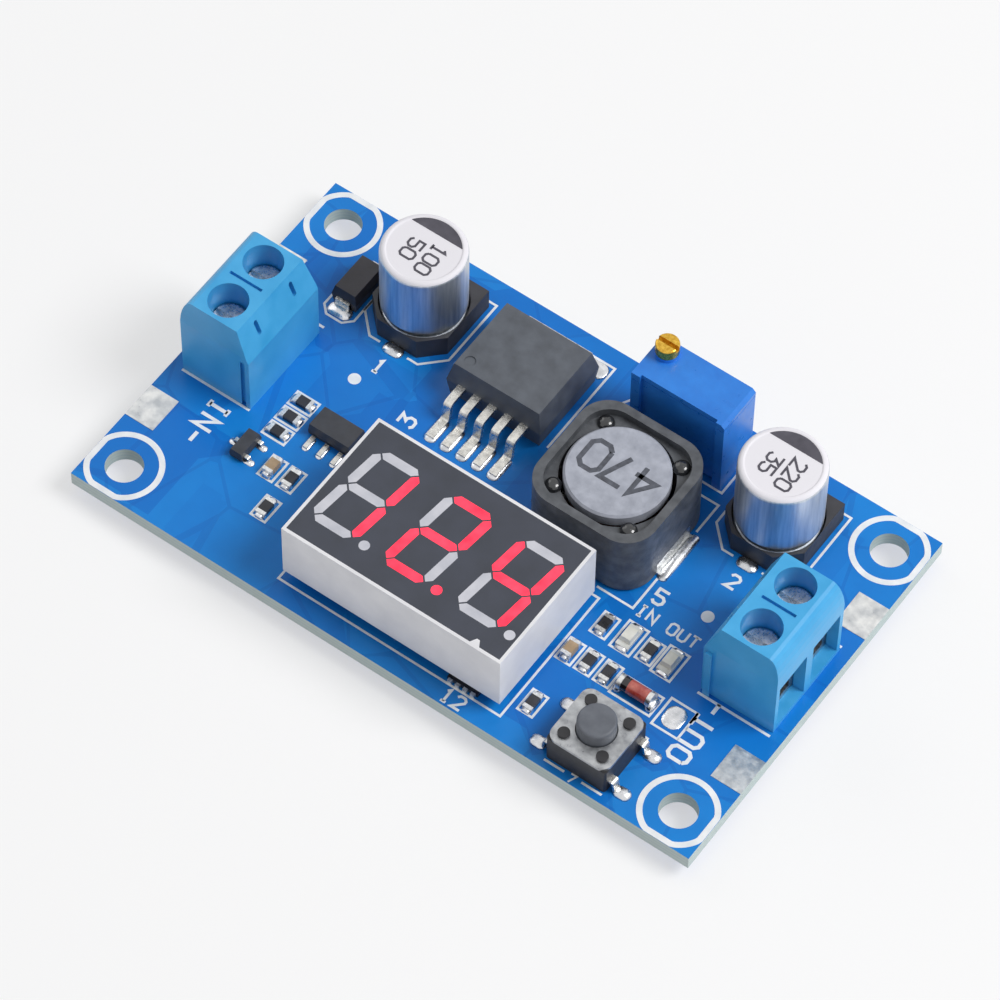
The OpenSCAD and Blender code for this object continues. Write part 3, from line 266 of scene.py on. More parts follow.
def boardFinish():
    # solder mask over copper pours on the faces, bare glass-fibre layers on the sawn edges
    look = boardLook
    f = Finish("board_mask", look["mask"], look["gloss"], Specular_IOR_Level=0.3)
    cells = f.add("TexVoronoi", feature="F1", distance="CHEBYCHEV")
    gaps = f.add("TexVoronoi", feature="DISTANCE_TO_EDGE")
    for texture in (cells, gaps):
        texture.inputs["Scale"].default_value = 1 / (look["pourSize"] * mm)
        f.join(f.place, texture.inputs["Vector"])
    pours = f.ramp(cells.outputs["Color"], (0.35, look["mask"]), (0.65, look["pour"]))
    cut = f.math("LESS_THAN", gaps.outputs["Distance"], look["cutWidth"])
    clouds = f.ramp(f.grain(look["cloudSize"]), (0.35, 0.0), (0.75, look["cloudShade"]))
    cloudy = f.blend(clouds, pours, look["deep"])
    mask = f.blend(f.math("MULTIPLY", cut, look["cutShade"]), cloudy, look["deep"])
    layers = f.add("TexWave", wave_type="BANDS", bands_direction="Z")
    layers.inputs["Scale"].default_value = look["layerPitch"] / mm
    f.join(f.place, layers.inputs["Vector"])
    edge = f.blend(f.ramp(layers.outputs["Color"], (0.2, 0.0), (0.9, 0.4)), look["core"], look["layer"])
    side = f.math("LESS_THAN", f.math("ABSOLUTE", f.facing()[2]), 0.5)
    f.colour(f.blend(side, mask, edge))
    grey = f.blend(side, (look["gloss"],) * 3 + (1,), (look["sawn"],) * 3 + (1,))
    f.join(grey, f.shader.inputs["Roughness"])
    weave = f.add("TexBrick")
    weave.inputs["Scale"].default_value = 1 / (look["weave"] * mm)
    f.join(f.place, weave.inputs["Vector"])
    woven = f.bump(weave.outputs["Fac"], look["weaveDepth"], 0.15)
    f.bump(f.math("SUBTRACT", 1.0, cut), look["cutDepth"], 0.3, after=woven)
    return f.material


canLook = {
    "wallDark": srgb(184, 192, 202),
    "wallLight": srgb(222, 226, 230),
    # pale matte tone of the can's top face: painted light, the top as it looks lit from above, not ink
    "print": srgb(236, 234, 240),
    "litTopAbove": 9,  # mm over the board, where the painted light of the pale top starts
    "wallRough": 0.42,
    "litTopRough": 0.6,
    "lines": 0.3,  # mm between drawing lines
}


def canFinish():
    # drawn aluminium; its top face is painted pale and matte as painted light from above
    look = canLook
    f = Finish("can_aluminium", look["wallLight"], look["wallRough"], metal=1.0)
    drawn = f.grain(look["lines"], stretch=(1, 1, 0.05))
    wall = f.ramp(drawn, (0.3, look["wallDark"]), (0.7, look["wallLight"]))
    # upward faces high on the can take the pale tone and lose their metal: painted light on the top
    top = f.math("GREATER_THAN", f.facing()[2], 0.6)
    high = f.math("GREATER_THAN", f.axes()[2], (topZ + look["litTopAbove"]) * mm)
    paintedLitTop = f.math("MULTIPLY", top, high)
    f.colour(f.blend(paintedLitTop, wall, look["print"]))
    f.join(f.math("SUBTRACT", 1.0, paintedLitTop), f.shader.inputs["Metallic"])
    rough = f.ramp(paintedLitTop, (0.0, look["wallRough"]), (1.0, look["litTopRough"]))
    f.join(rough, f.shader.inputs["Roughness"])
    f.bump(drawn, 0.01, 0.25)
    return f.material


glowLook = {
    "dark": srgb(244, 34, 62),
    "light": srgb(255, 60, 84),
    "strength": 0.9,
    "mottle": 1.6,
}


def glowFinish():
    # a lit diffuser: hotter in patches, milky skin
    look = glowLook
    f = Finish("lit_bar", look["light"], 0.35, Emission_Strength=look["strength"])
    tone = f.ramp(f.grain(look["mottle"]), (0.3, look["dark"]), (0.7, look["light"]))
    f.colour(tone)
    f.join(tone, f.shader.inputs["Emission Color"])
    f.bump(f.grain(0.1), 0.01, 0.2)
    return f.material


windingLook = {
    # dark: painted shade in the grooves between the turns
    "dark": srgb(90, 38, 16),
    "light": srgb(190, 100, 50),
    "turns": 0.35,  # turns per mm
    "depth": 0.1,
}


def windingFinish():
    # enamelled wire laid in even turns, with painted shade darkening the grooves between turns
    look = windingLook
    f = Finish("copper_wire", look["light"], 0.35, metal=1.0)
    turns = f.add("TexWave", wave_type="BANDS", bands_direction="Z")
    turns.inputs["Scale"].default_value = look["turns"] / mm
    f.join(f.place, turns.inputs["Vector"])
    # tone follows the turns' bump: painted shade in the grooves, the wire's own copper on the turns
    f.colour(f.ramp(turns.outputs["Color"], (0.1, look["dark"]), (0.6, look["light"])))
    f.bump(turns.outputs["Color"], look["depth"], 0.6)
    return f.material


glassLook = {
    "dark": srgb(170, 52, 46),
    "light": srgb(214, 120, 104),
    "band": srgb(30, 24, 28),
    "bandWidth": 0.6,
}


def glassFinish():
    # red-tinted glass bead with a dark band at one end
    look = glassLook
    f = Finish("glass_tube", look["light"], 0.08, Coat_Weight=0.4)
    bandEnd = (boxOf("glass_diode_body")[0].x + look["bandWidth"]) * mm
    band = f.math("LESS_THAN", f.axes()[0], bandEnd)
    body = f.ramp(f.grain(0.8), (0.3, look["dark"]), (0.7, look["light"]))
    f.colour(f.blend(band, body, look["band"]))
    f.bump(f.grain(0.4), 0.02, 0.3)
    return f.material


# Every finish of the module, by the part it is on: darker tone, lighter tone, roughness and grain
finishes = {
    "circuit_board": boardFinish(),
    "edge_pads": plated(
        "tinned_pad", srgb(176, 180, 184), srgb(226, 226, 224), 0.35, size=1.2, depth=0.03),
    "terminal_plastic": moulded("terminal_plastic", srgb(58, 162, 220), srgb(76, 176, 232), 0.38, mottle=3),
    "terminal_strip": plated("tinned_strip", srgb(150, 152, 154), srgb(190, 190, 188), 0.3, (1, 8, 1)),
    "clamp_steel": plated("clamp_steel", srgb(150, 152, 156), srgb(186, 188, 190), 0.32),
    "screw_steel": plated("screw_steel", srgb(176, 180, 186), srgb(222, 224, 228), 0.28, depth=0.02),
    "solder": plated("solder", srgb(190, 192, 196), srgb(230, 230, 232), 0.22, size=0.8, depth=0.05),
    "can": canFinish(),
    "can_base": moulded("can_base", srgb(34, 34, 38), srgb(52, 52, 58), 0.5),
    "tinned_lead": plated("tinned_lead", srgb(186, 184, 180), srgb(232, 230, 224), 0.25, depth=0.03),
    "moulding": moulded("moulding_compound", srgb(76, 80, 87), srgb(94, 99, 107), 0.55, 0.1, 0.03),
    "chip_moulding": moulded("chip_moulding", srgb(44, 45, 50), srgb(62, 64, 70), 0.5, 0.08, 0.02),
    "tab_metal": plated("tab_metal", srgb(160, 162, 166), srgb(206, 206, 206), 0.3, (1, 10, 1)),
    "shell": ferrite("ferrite_shell", srgb(66, 69, 74), srgb(96, 99, 104), 0.42),
    "core": ferrite("ferrite_core", srgb(150, 154, 166), srgb(180, 184, 196), 0.5, 0.15),
    "winding": windingFinish(),
    "glue": moulded("glue", srgb(26, 27, 30), srgb(44, 46, 50), 0.14, 0.5, 0.06, Coat_Weight=0.6),
    "clip": plated("clip_metal", srgb(170, 172, 174), srgb(214, 214, 212), 0.3),
    "trimmer_plastic": moulded("trimmer_plastic", srgb(36, 118, 212), srgb(48, 134, 228), 0.32, mottle=2),
    "brass": plated("brass", srgb(186, 140, 46), srgb(232, 190, 84), 0.25, size=0.4),
    "display_plastic": moulded("display_plastic", srgb(226, 226, 230), srgb(240, 240, 243), 0.45, mottle=4),
    "display_face": moulded("display_face", srgb(50, 54, 64), srgb(60, 64, 76), 0.5, 0.15, 0.01, 3),
    "lit": glowFinish(),
    "unlit": moulded("unlit_bar", srgb(190, 192, 202), srgb(214, 214, 222), 0.4, mottle=2),
    "switch_plastic": moulded("switch_plastic", srgb(22, 22, 25), srgb(38, 38, 42), 0.5),
    "cover_steel": plated(
        "cover_steel", srgb(140, 142, 146), srgb(186, 188, 190), 0.34, (1, 12, 1), 0.01, 0.8),
    "button_plastic": moulded("button_plastic", srgb(84, 88, 96), srgb(104, 108, 116), 0.5),
    "dome_metal": plated("dome_metal", srgb(150, 142, 126), srgb(196, 188, 170), 0.25),
    "diode_plastic": moulded("diode_plastic", srgb(38, 36, 40), srgb(58, 56, 62), 0.5),
    "chip_end": plated("chip_end", srgb(196, 196, 196), srgb(236, 236, 234), 0.3, size=0.3, depth=0.02),
    "resistor": moulded("chip_resistor", srgb(30, 30, 34), srgb(52, 52, 58), 0.3, 0.2, 0.01),
    "ceramic": moulded("chip_capacitor", srgb(152, 128, 100), srgb(186, 160, 128), 0.45),
    "lens": moulded("lamp_lens", srgb(216, 214, 200), srgb(244, 242, 232), 0.15, Coat_Weight=0.5),
    "lamp_base": moulded("lamp_base", srgb(214, 214, 208), srgb(240, 240, 234), 0.5),
    "ink": moulded("white_ink", srgb(228, 232, 236), srgb(250, 251, 252), 0.5, 0.2, 0.01),
    "dark_ink": moulded("dark_ink", srgb(62, 60, 70), srgb(84, 82, 92), 0.45, 0.2, 0.01),
    "glass": glassFinish(),
    "marker": moulded("marker_ink", srgb(58, 60, 68), srgb(92, 96, 106), 0.55, 0.3, 0.01, 0.5),
}


# The finish of each node of the frame
nodeFinish = {
    "circuit_board": "circuit_board", "edge_pads": "edge_pads", "terminal_solder": "solder",
    "regulator_body": "moulding", "regulator_tab": "tab_metal", "regulator_leads": "tinned_lead",
    "inductor_shell": "shell", "inductor_core": "core", "inductor_winding": "winding",
    "inductor_glue": "glue", "inductor_clips": "clip", "trimmer_body": "trimmer_plastic",
    "trimmer_screw": "brass", "trimmer_pins": "tinned_lead", "trimmer_solder": "solder",
    "display_housing": "display_plastic", "display_face": "display_face", "lit_bars": "lit",
    "unlit_bars": "unlit", "display_pins": "tinned_lead", "display_solder": "solder",
    "switch_base": "switch_plastic", "switch_cover": "cover_steel", "switch_button": "button_plastic",
    "switch_dome": "dome_metal", "switch_leads": "tinned_lead", "input_diode_body": "diode_plastic",
    "input_diode_leads": "tinned_lead", "glass_diode_body": "glass", "glass_diode_caps": "chip_end",
    "chip_resistors": "resistor", "chip_resistor_ends": "chip_end", "chip_capacitors": "ceramic",
    "chip_capacitor_ends": "chip_end", "transistor_bodies": "chip_moulding",
    "transistor_leads": "tinned_lead", "indicator_lamps": "lens", "indicator_lamp_bases": "lamp_base",
    "resistor_array": "resistor", "resistor_array_ends": "chip_end", "meter_chip": "chip_moulding",
    "meter_chip_leads": "tinned_lead",
}
for end in ("input", "output"):
    nodeFinish[end + "_terminal_housing"] = "terminal_plastic"
    nodeFinish[end + "_terminal_contacts"] = "terminal_strip"
    nodeFinish[end + "_capacitor_can"] = "can"
    nodeFinish[end + "_capacitor_base"] = "can_base"
    nodeFinish[end + "_capacitor_leads"] = "tinned_lead"
    for pole in ("negative", "positive"):
        nodeFinish[end + "_" + pole + "_clamp"] = "clamp_steel"
        nodeFinish[end + "_" + pole + "_screw"] = "screw_steel"

for name, thing in frame["nodes"].items():
    thing.data.materials.clear()
    thing.data.materials.append(finishes[nodeFinish[name]])
print("finishes on", len(frame["nodes"]), "nodes")


# Making pieces; every shape is drawn in mm

def addPiece(name, shape, finish, smooth=False):
    # every drawn piece is fixed to the board
    mesh = bpy.data.meshes.new(name)
    bmesh.ops.recalc_face_normals(shape, faces=shape.faces)
    shape.to_mesh(mesh)
    shape.free()
    mesh.transform(Matrix.Scale(mm, 4))
    if smooth:
        mesh.polygons.foreach_set("use_smooth", [True] * len(mesh.polygons))
    piece = bpy.data.objects.new(name, mesh)
    bpy.context.scene.collection.objects.link(piece)
    mesh.materials.append(finishes[finish])
    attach(piece, "root")


def loft(shape, rings):
    # skins a row of closed rings, each a list of (x, y, z), and closes both ends
    rows = [[shape.verts.new(p) for p in ring] for ring in rings]
    count = len(rows[0])
    for a, b in zip(rows, rows[1:]):
        for i in range(count):
            shape.faces.new((a[i], a[(i + 1) % count], b[(i + 1) % count], b[i]))
    shape.faces.new(list(reversed(rows[0])))
    shape.faces.new(rows[-1])


def slab(shape, outline, low, high):
    # a flat plate with the outline (x, y), between two heights
    loft(shape, [[(x, y, low) for x, y in outline], [(x, y, high) for x, y in outline]])


def strip(shape, points, width, low, high, closed=False):
    # a flat stroke of ink or metal along points, mitred at its corners
    pts = [Vector(p[:2]) for p in points]
    count = len(pts)
    left, right = [], []
    for i, p in enumerate(pts):
        before = pts[i - 1] if (i or closed) else None
        after = pts[(i + 1) % count] if (i < count - 1 or closed) else None
        a = (p - before).normalized() if before is not None else (after - p).normalized()
        b = (after - p).normalized() if after is not None else a
        bisect = a + b
        if bisect.length < 1e-6:
            bisect = a
        bisect.normalize()
        side = Vector((-bisect.y, bisect.x))
        # the mitre of a sharp corner is cut short
        reach = width / 2 / max(0.35, side.dot(Vector((-a.y, a.x))))
        left.append(p + side * reach)
        right.append(p - side * reach)
    turns = count if closed else count - 1
    rows = [[shape.verts.new((q.x, q.y, z)) for q in row] for row in (left, right) for z in (low, high)]
    leftLow, leftHigh, rightLow, rightHigh = rows
    for i in range(turns):
        j = (i + 1) % count
        for a, b in ((leftHigh, rightHigh), (rightLow, leftLow), (leftLow, leftHigh), (rightHigh, rightLow)):
            shape.faces.new((a[i], a[j], b[j], b[i]))
    if not closed:
        for i in (0, count - 1):
            shape.faces.new((leftLow[i], leftHigh[i], rightHigh[i], rightLow[i]))


def circlePoints(x, y, r, steps=40, start=0, end=360):
    span = steps if end - start == 360 else steps + 1
    return [(x + r * math.cos(math.radians(start + (end - start) * i / steps)),
             y + r * math.sin(math.radians(start + (end - start) * i / steps))) for i in range(span)]


# Strokes of the board's lettering on a grid 4 wide and 6 high
glyphs = {
    "0": [[(0, 1), (0, 5), (1, 6), (3, 6), (4, 5), (4, 1), (3, 0), (1, 0), (0, 1)]],
    "1": [[(0.8, 5), (2, 6), (2, 0)], [(0.8, 0), (3.2, 0)]],
    "2": [[(0, 5), (1, 6), (3, 6), (4, 5), (4, 4), (0, 0), (4, 0)]],
    "3": [[(0, 6), (4, 6), (2, 3.6), (3, 3.6), (4, 2.6), (4, 1), (3, 0), (1, 0), (0, 1)]],
    "4": [[(3, 0), (3, 6), (0, 2), (4, 2)]],
    "5": [[(4, 6), (0, 6), (0, 3.4), (3, 3.4), (4, 2.4), (4, 1), (3, 0), (1, 0), (0, 1)]],
    "7": [[(0, 6), (4, 6), (1.4, 0)]],
    "I": [[(2, 0), (2, 6)], [(0.8, 6), (3.2, 6)], [(0.8, 0), (3.2, 0)]],
    "N": [[(0, 0), (0, 6), (4, 0), (4, 6)]],
    "O": [[(0, 1), (0, 5), (1, 6), (3, 6), (4, 5), (4, 1), (3, 0), (1, 0), (0, 1)]],
    "U": [[(0, 6), (0, 1), (1, 0), (3, 0), (4, 1), (4, 6)]],
    "T": [[(0, 6), (4, 6)], [(2, 6), (2, 0)]],
    "+": [[(0.4, 3), (3.6, 3)], [(2, 1.4), (2, 4.6)]],
    "-": [[(0.2, 3), (3.8, 3)]],
}


def lettering(shape, words, x, y, height, turn, weight, low, high, spread=1.45):
    # words centred on (x, y), turned by degrees, drawn with the glyph strokes
    unit = height / 6
    advance = 4 * spread * unit
    spin = Matrix.Rotation(math.radians(turn), 2)
    start = -advance * (len(words) - 1) / 2
    for i, letter in enumerate(words):
        for stroke in glyphs[letter]:
            spots = [Vector((start + i * advance + (px - 2) * unit, (py - 3) * unit)) for px, py in stroke]
            strip(shape, [spin @ p + Vector((x, y)) for p in spots], weight * height, low, high)


# Board print

printLook = {
    "ink": 0.025,  # thickness of the print, in mm as all that follows
    "sunk": 0.005,  # how deep the ink starts in the mask
    "line": 0.22,
    "clear": 0.3,  # from a part to its outline
    "stroke": 0.19,  # weight of a letter, as a share of its height
    "label": 1.5,  # height of the numbers
}
inkLow = topZ - printLook["sunk"]
inkHigh = topZ + printLook["ink"]


def line(shape, points, width=printLook["line"], closed=False):
    strip(shape, points, width, inkLow, inkHigh, closed)


def label(shape, words, x, y, turn=0, height=printLook["label"]):
    lettering(shape, words, x, y, height, turn, printLook["stroke"], inkLow, inkHigh)


def boxLine(shape, x0, y0, x1, y1):
    line(shape, [(x0, y0), (x1, y0), (x1, y1), (x0, y1)], closed=True)


def boxRound(shape, lo, hi, clear=printLook["clear"]):
    # a box outline that stands clear of a part
    boxLine(shape, lo.x - clear, lo.y - clear, hi.x + clear, hi.y + clear)


ringLook = {
    "outer": 7.23,  # print around each mounting hole
    "line": 0.55,
    "edge": 0.02,  # bare board left at the sawn edge
    "steps": 64,
}


def holeRings(shape):
    look = ringLook
    board = boxOf("circuit_board")[1]
    holes = frame["record"]["mounts"][0]["dims"]
    reachX = board.x - look["line"] / 2 - look["edge"]
    reachY = board.y - look["line"] / 2 - look["edge"]
    for sx in (-1, 1):
        for sy in (-1, 1):
            x, y = sx * holes["spacing_x_mm"] / 2, sy * holes["spacing_y_mm"] / 2
            ring = circlePoints(x, y, (look["outer"] - look["line"]) / 2, look["steps"])
            # the board's sawn edge trims the rings
            ring = [(min(max(px, -reachX), reachX), min(max(py, -reachY), reachY)) for px, py in ring]
            line(shape, ring, look["line"], True)


viaLook = {
    "radius": 0.6,
    "places": ((-0.57, 0.164), (0.627, 0.062)),  # shares of the board's half length and half width
    "steps": 24,
}


def coveredVias(shape):
    board = boxOf("circuit_board")[1]
    for x, y in viaLook["places"]:
        dot = circlePoints(x * board.x, y * board.y, viaLook["radius"], viaLook["steps"])
        slab(shape, dot, inkLow, inkHigh)


capOutlineLook = {
    "clear": 0.5,
    "cut": 2.0,  # cut corners on the meter's side
    "gap": 1.5,  # half of the opening for the lead's pad
    "stub": 1.2,  # short leg at the far corner
    "numbers": {"input": "1", "output": "2"},
    "numberDrop": 2.2,
    "numberHeight": 1.4,
}


def capOutlines(shape):
    look = capOutlineLook
    clear, cut, gap = look["clear"], look["cut"], look["gap"]
    for end, number in look["numbers"].items():
        lo, hi = boxOf(end + "_capacitor_base")
        x0, y0, x1, y1 = lo.x - clear, lo.y - clear, hi.x + clear, hi.y + clear
        mid = (x0 + x1) / 2
        line(shape, [(x0, y1), (x0, y0 + cut), (x0 + cut, y0), (mid - gap, y0)])
        line(shape, [(mid + gap, y0), (x1 - cut, y0), (x1, y0 + cut), (x1, y1), (x1 - look["stub"], y1)])
        label(shape, number, mid, y0 - look["numberDrop"], height=look["numberHeight"])


regulatorOutlineLook = {
    "left": 0.4,
    "right": 0.45,
    "behind": 0.5,  # past the tab
    "stop": 0.5,  # where the right line ends, short of the leads' side
    "number": "3",
    "numberLeft": 1.0,
    "numberUp": 0.3,
}


def regulatorOutline(shape):
    look = regulatorOutlineLook
    lo, hi = boxOf("regulator_body")
    back, right = boxOf("regulator_tab")[1].y + look["behind"], hi.x + look["right"]
    line(shape, [(lo.x - look["left"], back), (right, back), (right, lo.y + look["stop"])])
    feet = boxOf("regulator_leads")[0].y
    label(shape, look["number"], lo.x - look["numberLeft"], feet + look["numberUp"], 90)


inductorOutlineLook = {
    "side": 0.3,
    "end": 0.4,
    # corners, as side, end, and how far each leg runs along the shell
    "corners": ((1, -1, 3.5, 3.4), (-1, -1, 1.4, 1.0), (1, 1, 2.0, 3.0)),
    "number": "5",
    "numberRight": 1.6,
    "numberUp": 1.9,
}


def inductorOutline(shape):
    look = inductorOutlineLook
    lo, hi = boxOf("inductor_shell")
    for sx, sy, alongX, alongY in look["corners"]:
        cornerX = hi.x if sx > 0 else lo.x
        cornerY = hi.y if sy > 0 else lo.y
        x, y = cornerX + sx * look["side"], cornerY + sy * look["end"]
        line(shape, [(cornerX - sx * alongX, y), (x, y), (x, cornerY - sy * alongY)])
    label(shape, look["number"], hi.x + look["numberRight"], lo.y + look["numberUp"])


trimmerOutlineLook = {
    "side": 0.3,
    "near": 0.1,
    "stub": 2.5,
    "pinMark": ((-2.6, -2.6), (-1.2, -0.2), (-0.6, -2.6), (-2.6, -2.6)),  # from the far left corner
}


def trimmerOutline(shape):
    look = trimmerOutlineLook
    lo, hi = boxOf("trimmer_body")
    x, y = hi.x + look["side"], lo.y - look["near"]
    line(shape, [(x, hi.y + look["side"]), (x, y), (hi.x - look["stub"], y)])
    line(shape, [(lo.x + px, hi.y + py) for px, py in look["pinMark"]])


meterOutlineLook = {
    "number": "12",
    "numberDrop": 1.3,
    "numberHeight": 1.3,
}


def meterOutline(shape):
    # the number stands by the resistor array
    look = meterOutlineLook
    lo, hi = boxOf("display_housing")
    boxRound(shape, lo, hi)
    x = middleOf("resistor_array").x
    label(shape, look["number"], x, lo.y - look["numberDrop"], height=look["numberHeight"])


terminalPrintLook = {
    "line": 0.25,
    "near": 0.15,
    "far": 0.35,
    "edge": 0.1,  # bare board left at the sawn edge
    "poleHeight": 1.9,
    "poleBelow": 3.4,
    "plusHeight": 1.6,
    "plusAbove": 5.6,
    # words, their turn, their shift from the block's middle, and the plus sign's from its inner face
    "input": ("IN-", -90, 1.4, -1.2),
    "output": ("OUT-", 90, -1.5, -0.2),
}


def terminalPrint(shape):
    look = terminalPrintLook
    board = boxOf("circuit_board")
    for end in ("input", "output"):
        words, turn, shift, plusShift = look[end]
        lo, hi = boxOf(end + "_terminal_housing")
        x0, x1 = max(lo.x, board[0].x + look["edge"]), min(hi.x, board[1].x - look["edge"])
        for y in (lo.y - look["near"], hi.y + look["far"]):
            line(shape, [(x0, y), (x1, y)], look["line"])
        mid = (lo.x + hi.x) / 2
        inner = hi.x if end == "input" else lo.x
        label(shape, words, mid + shift, lo.y - look["poleBelow"], turn, look["poleHeight"])
        label(shape, "+", inner + plusShift, hi.y + look["plusAbove"], turn, look["plusHeight"])


smallPrintLook = {
    "clear": 0.35,  # around the lamps and the glass diode
    "lampWords": (("IN", 0.15), ("OUT", 0.65)),  # each with its shift to the left
    "lampWordUp": 1.75,
    "lampWordHeight": 1.15,
    "padFrom": 0.9,  # box of the bare pad beside the glass diode
    "padTo": 3.6,
    "padClear": 0.8,
}


def smallPartPrint(shape):
    look = smallPrintLook
    for node in ("chip_resistor_ends", "chip_capacitor_ends"):
        for lo, hi in partsOf(node):
            boxRound(shape, lo, hi)
    for (words, shift), (lo, hi) in zip(look["lampWords"], solidsOf("indicator_lamp_bases")):
        boxRound(shape, lo, hi, look["clear"])
        x, y = (lo.x + hi.x) / 2 - shift, hi.y + look["lampWordUp"]
        label(shape, words, x, y, height=look["lampWordHeight"])
    lo, hi = boxOf("glass_diode_caps")
    boxRound(shape, lo, hi, look["clear"])
    clear = look["padClear"]
    boxLine(shape, hi.x + look["padFrom"], lo.y - clear, hi.x + look["padTo"], hi.y + clear)


diodeOutlineLook = {
    "side": 0.9,
    "near": 1.2,
    "cut": 0.8,
    "stop": 0.5,
}


def diodeOutline(shape):
    look = diodeOutlineLook
    cut = look["cut"]
    lo, hi = boxOf("input_diode_leads")
    x0, x1 = lo.x - look["side"], hi.x + look["side"]
    y0, y1 = lo.y - look["near"], hi.y - look["stop"]
    line(shape, [(x0, y1), (x0, y0 + cut), (x0 + cut, y0), (x1 - cut, y0), (x1, y0 + cut), (x1, y1)])


switchPrintLook = {
    "far": 0.35,
    "near": 0.3,
    "legs": (0.1, 2.2),  # where each near line starts and ends, from the base's corner
    "number": "7",
    "numberDrop": 0.5,
    "numberHeight": 0.85,
}


def switchPrint(shape):
    look = switchPrintLook
    start, end = look["legs"]
    lo, hi = boxOf("switch_base")
    line(shape, [(lo.x, hi.y + look["far"]), (hi.x, hi.y + look["far"])])
    for x0, x1 in ((lo.x + start, lo.x + end), (hi.x - end, hi.x - start)):
        line(shape, [(x0, lo.y - look["near"]), (x1, lo.y - look["near"])])
    x = (lo.x + hi.x) / 2
    label(shape, look["number"], x, lo.y - look["numberDrop"], height=look["numberHeight"])


def boardPrint():
    shape = bmesh.new()
    holeRings(shape)
    coveredVias(shape)
    capOutlines(shape)
    regulatorOutline(shape)
    inductorOutline(shape)
    trimmerOutline(shape)
    meterOutline(shape)
    terminalPrint(shape)
    smallPartPrint(shape)
    diodeOutline(shape)
    switchPrint(shape)
    addPiece("board_print", shape, "ink")


boardPrint()
print("board print made")

# Solder

solderLook = {
    # height of the drops; out is past a part's end, under is back beneath it, side is beyond its width
    "chip": {"rise": 0.7, "out": 0.35, "under": 0.2},  # rise as a share of the end's height
    "lamp": {"height": 0.35, "out": 0.4, "under": 0.25},
    "regulator": {"height": 0.3, "out": 0.45, "length": 2.5, "side": 0.25},
    "tab": {"height": 0.25, "out": 0.4, "under": 1.4, "left": 0.5, "right": 1.2},
    "switch": {"height": 0.45, "out": 0.5, "under": 1.2, "side": 0.25},
    "capacitor": {"height": 0.35, "out": 0.3, "under": 0.1, "side": 0.55},
    "transistor": {"height": 0.2, "out": 0.2, "under": 0.1, "side": 0.15},
    "glass": {"height": 0.6, "out": 0.4, "under": 0.5, "side": 0.1},
    "pad": {"height": 0.12, "start": 1.2, "end": 3.2, "near": 0.4, "far": 0.5},
    "inductor": {"height": 0.5, "out": 0.7, "under": 0.4, "half": 2.9},
    "diode": {"height": 0.4, "near": 1.0, "far": 0.8, "under": 0.5, "side": 0.5},
}

dropLook = {
    "rings": 5,
    "corners": 20,
    "round": 0.9,  # of the outline's smaller half
    "hollow": 0.7,  # below 1 the flanks draw in late
    "crown": 1.3,
}


def drop(shape, x0, x1, y0, y1, height):
    # a drop of solder on a pad: rounded outline, hollow flanks, crowned top
    look = dropLook
    cx, cy = (x0 + x1) / 2, (y0 + y1) / 2
    hx, hy = (x1 - x0) / 2, (y1 - y0) / 2
    rings = []
    for i in range(look["rings"] + 1):
        t = i / look["rings"] * math.pi / 2
        share = math.cos(t) ** look["hollow"] * 0.999 + 0.001  # never quite a point
        z = topZ + height * math.sin(t) ** look["crown"]
        r = min(hx, hy) * look["round"] * share
        ring = []
        for k in range(look["corners"]):
            a = 2 * math.pi * k / look["corners"]
            px = math.copysign(max(0, hx * share - r), math.cos(a)) + r * math.cos(a)
            py = math.copysign(max(0, hy * share - r), math.sin(a)) + r * math.sin(a)
            ring.append((cx + px, cy + py, z))
        rings.append(ring)
    loft(shape, rings)


def chipSolder(shape):
    look = solderLook["chip"]
    out, under = look["out"], look["under"]
    for node in ("chip_resistor_ends", "chip_capacitor_ends"):
        for lo, hi in partsOf(node):
            height = (hi.z - lo.z) * look["rise"]
            if hi.x - lo.x > hi.y - lo.y:
                drop(shape, lo.x - out, lo.x + under, lo.y, hi.y, height)
                drop(shape, hi.x - under, hi.x + out, lo.y, hi.y, height)
            else:
                drop(shape, lo.x, hi.x, lo.y - out, lo.y + under, height)
                drop(shape, lo.x, hi.x, hi.y - under, hi.y + out, height)
    look = solderLook["lamp"]
    out, under = look["out"], look["under"]
    for lo, hi in solidsOf("indicator_lamp_bases"):
        drop(shape, lo.x, hi.x, lo.y - out, lo.y + under, look["height"])
        drop(shape, lo.x, hi.x, hi.y - under, hi.y + out, look["height"])


def regulatorSolder(shape):
    look = solderLook["regulator"]
    side = look["side"]
    for lo, hi in solidsOf("regulator_leads"):
        drop(shape, lo.x - side, hi.x + side, lo.y - look["out"], lo.y + look["length"], look["height"])
    look = solderLook["tab"]
    lo, hi = boxOf("regulator_tab")
    x0, x1 = lo.x - look["left"], hi.x + look["right"]
    drop(shape, x0, x1, hi.y - look["under"], hi.y + look["out"], look["height"])


def switchSolder(shape):
    look = solderLook["switch"]
    side, out, under = look["side"], look["out"], look["under"]
    for lo, hi in solidsOf("switch_leads"):
        leftLead = lo.x < middleOf("switch_base").x
        x0, x1 = (lo.x - out, lo.x + under) if leftLead else (hi.x - under, hi.x + out)
        drop(shape, x0, x1, lo.y - side, hi.y + side, look["height"])


def capacitorSolder(shape):
    look = solderLook["capacitor"]
    side, out, under = look["side"], look["out"], look["under"]
    for end in ("input", "output"):
        base = boxOf(end + "_capacitor_base")
        for lo, hi in solidsOf(end + "_capacitor_leads"):
            near = lo.y < base[0].y
            y0, y1 = (lo.y - out, base[0].y + under) if near else (base[1].y - under, hi.y + out)
            drop(shape, lo.x - side, hi.x + side, y0, y1, look["height"])


def transistorSolder(shape):
    look = solderLook["transistor"]
    side = look["side"]
    for lo, hi in solidsOf("transistor_leads"):
        drop(shape, lo.x - side, hi.x + side, lo.y - look["out"], hi.y + look["under"], look["height"])


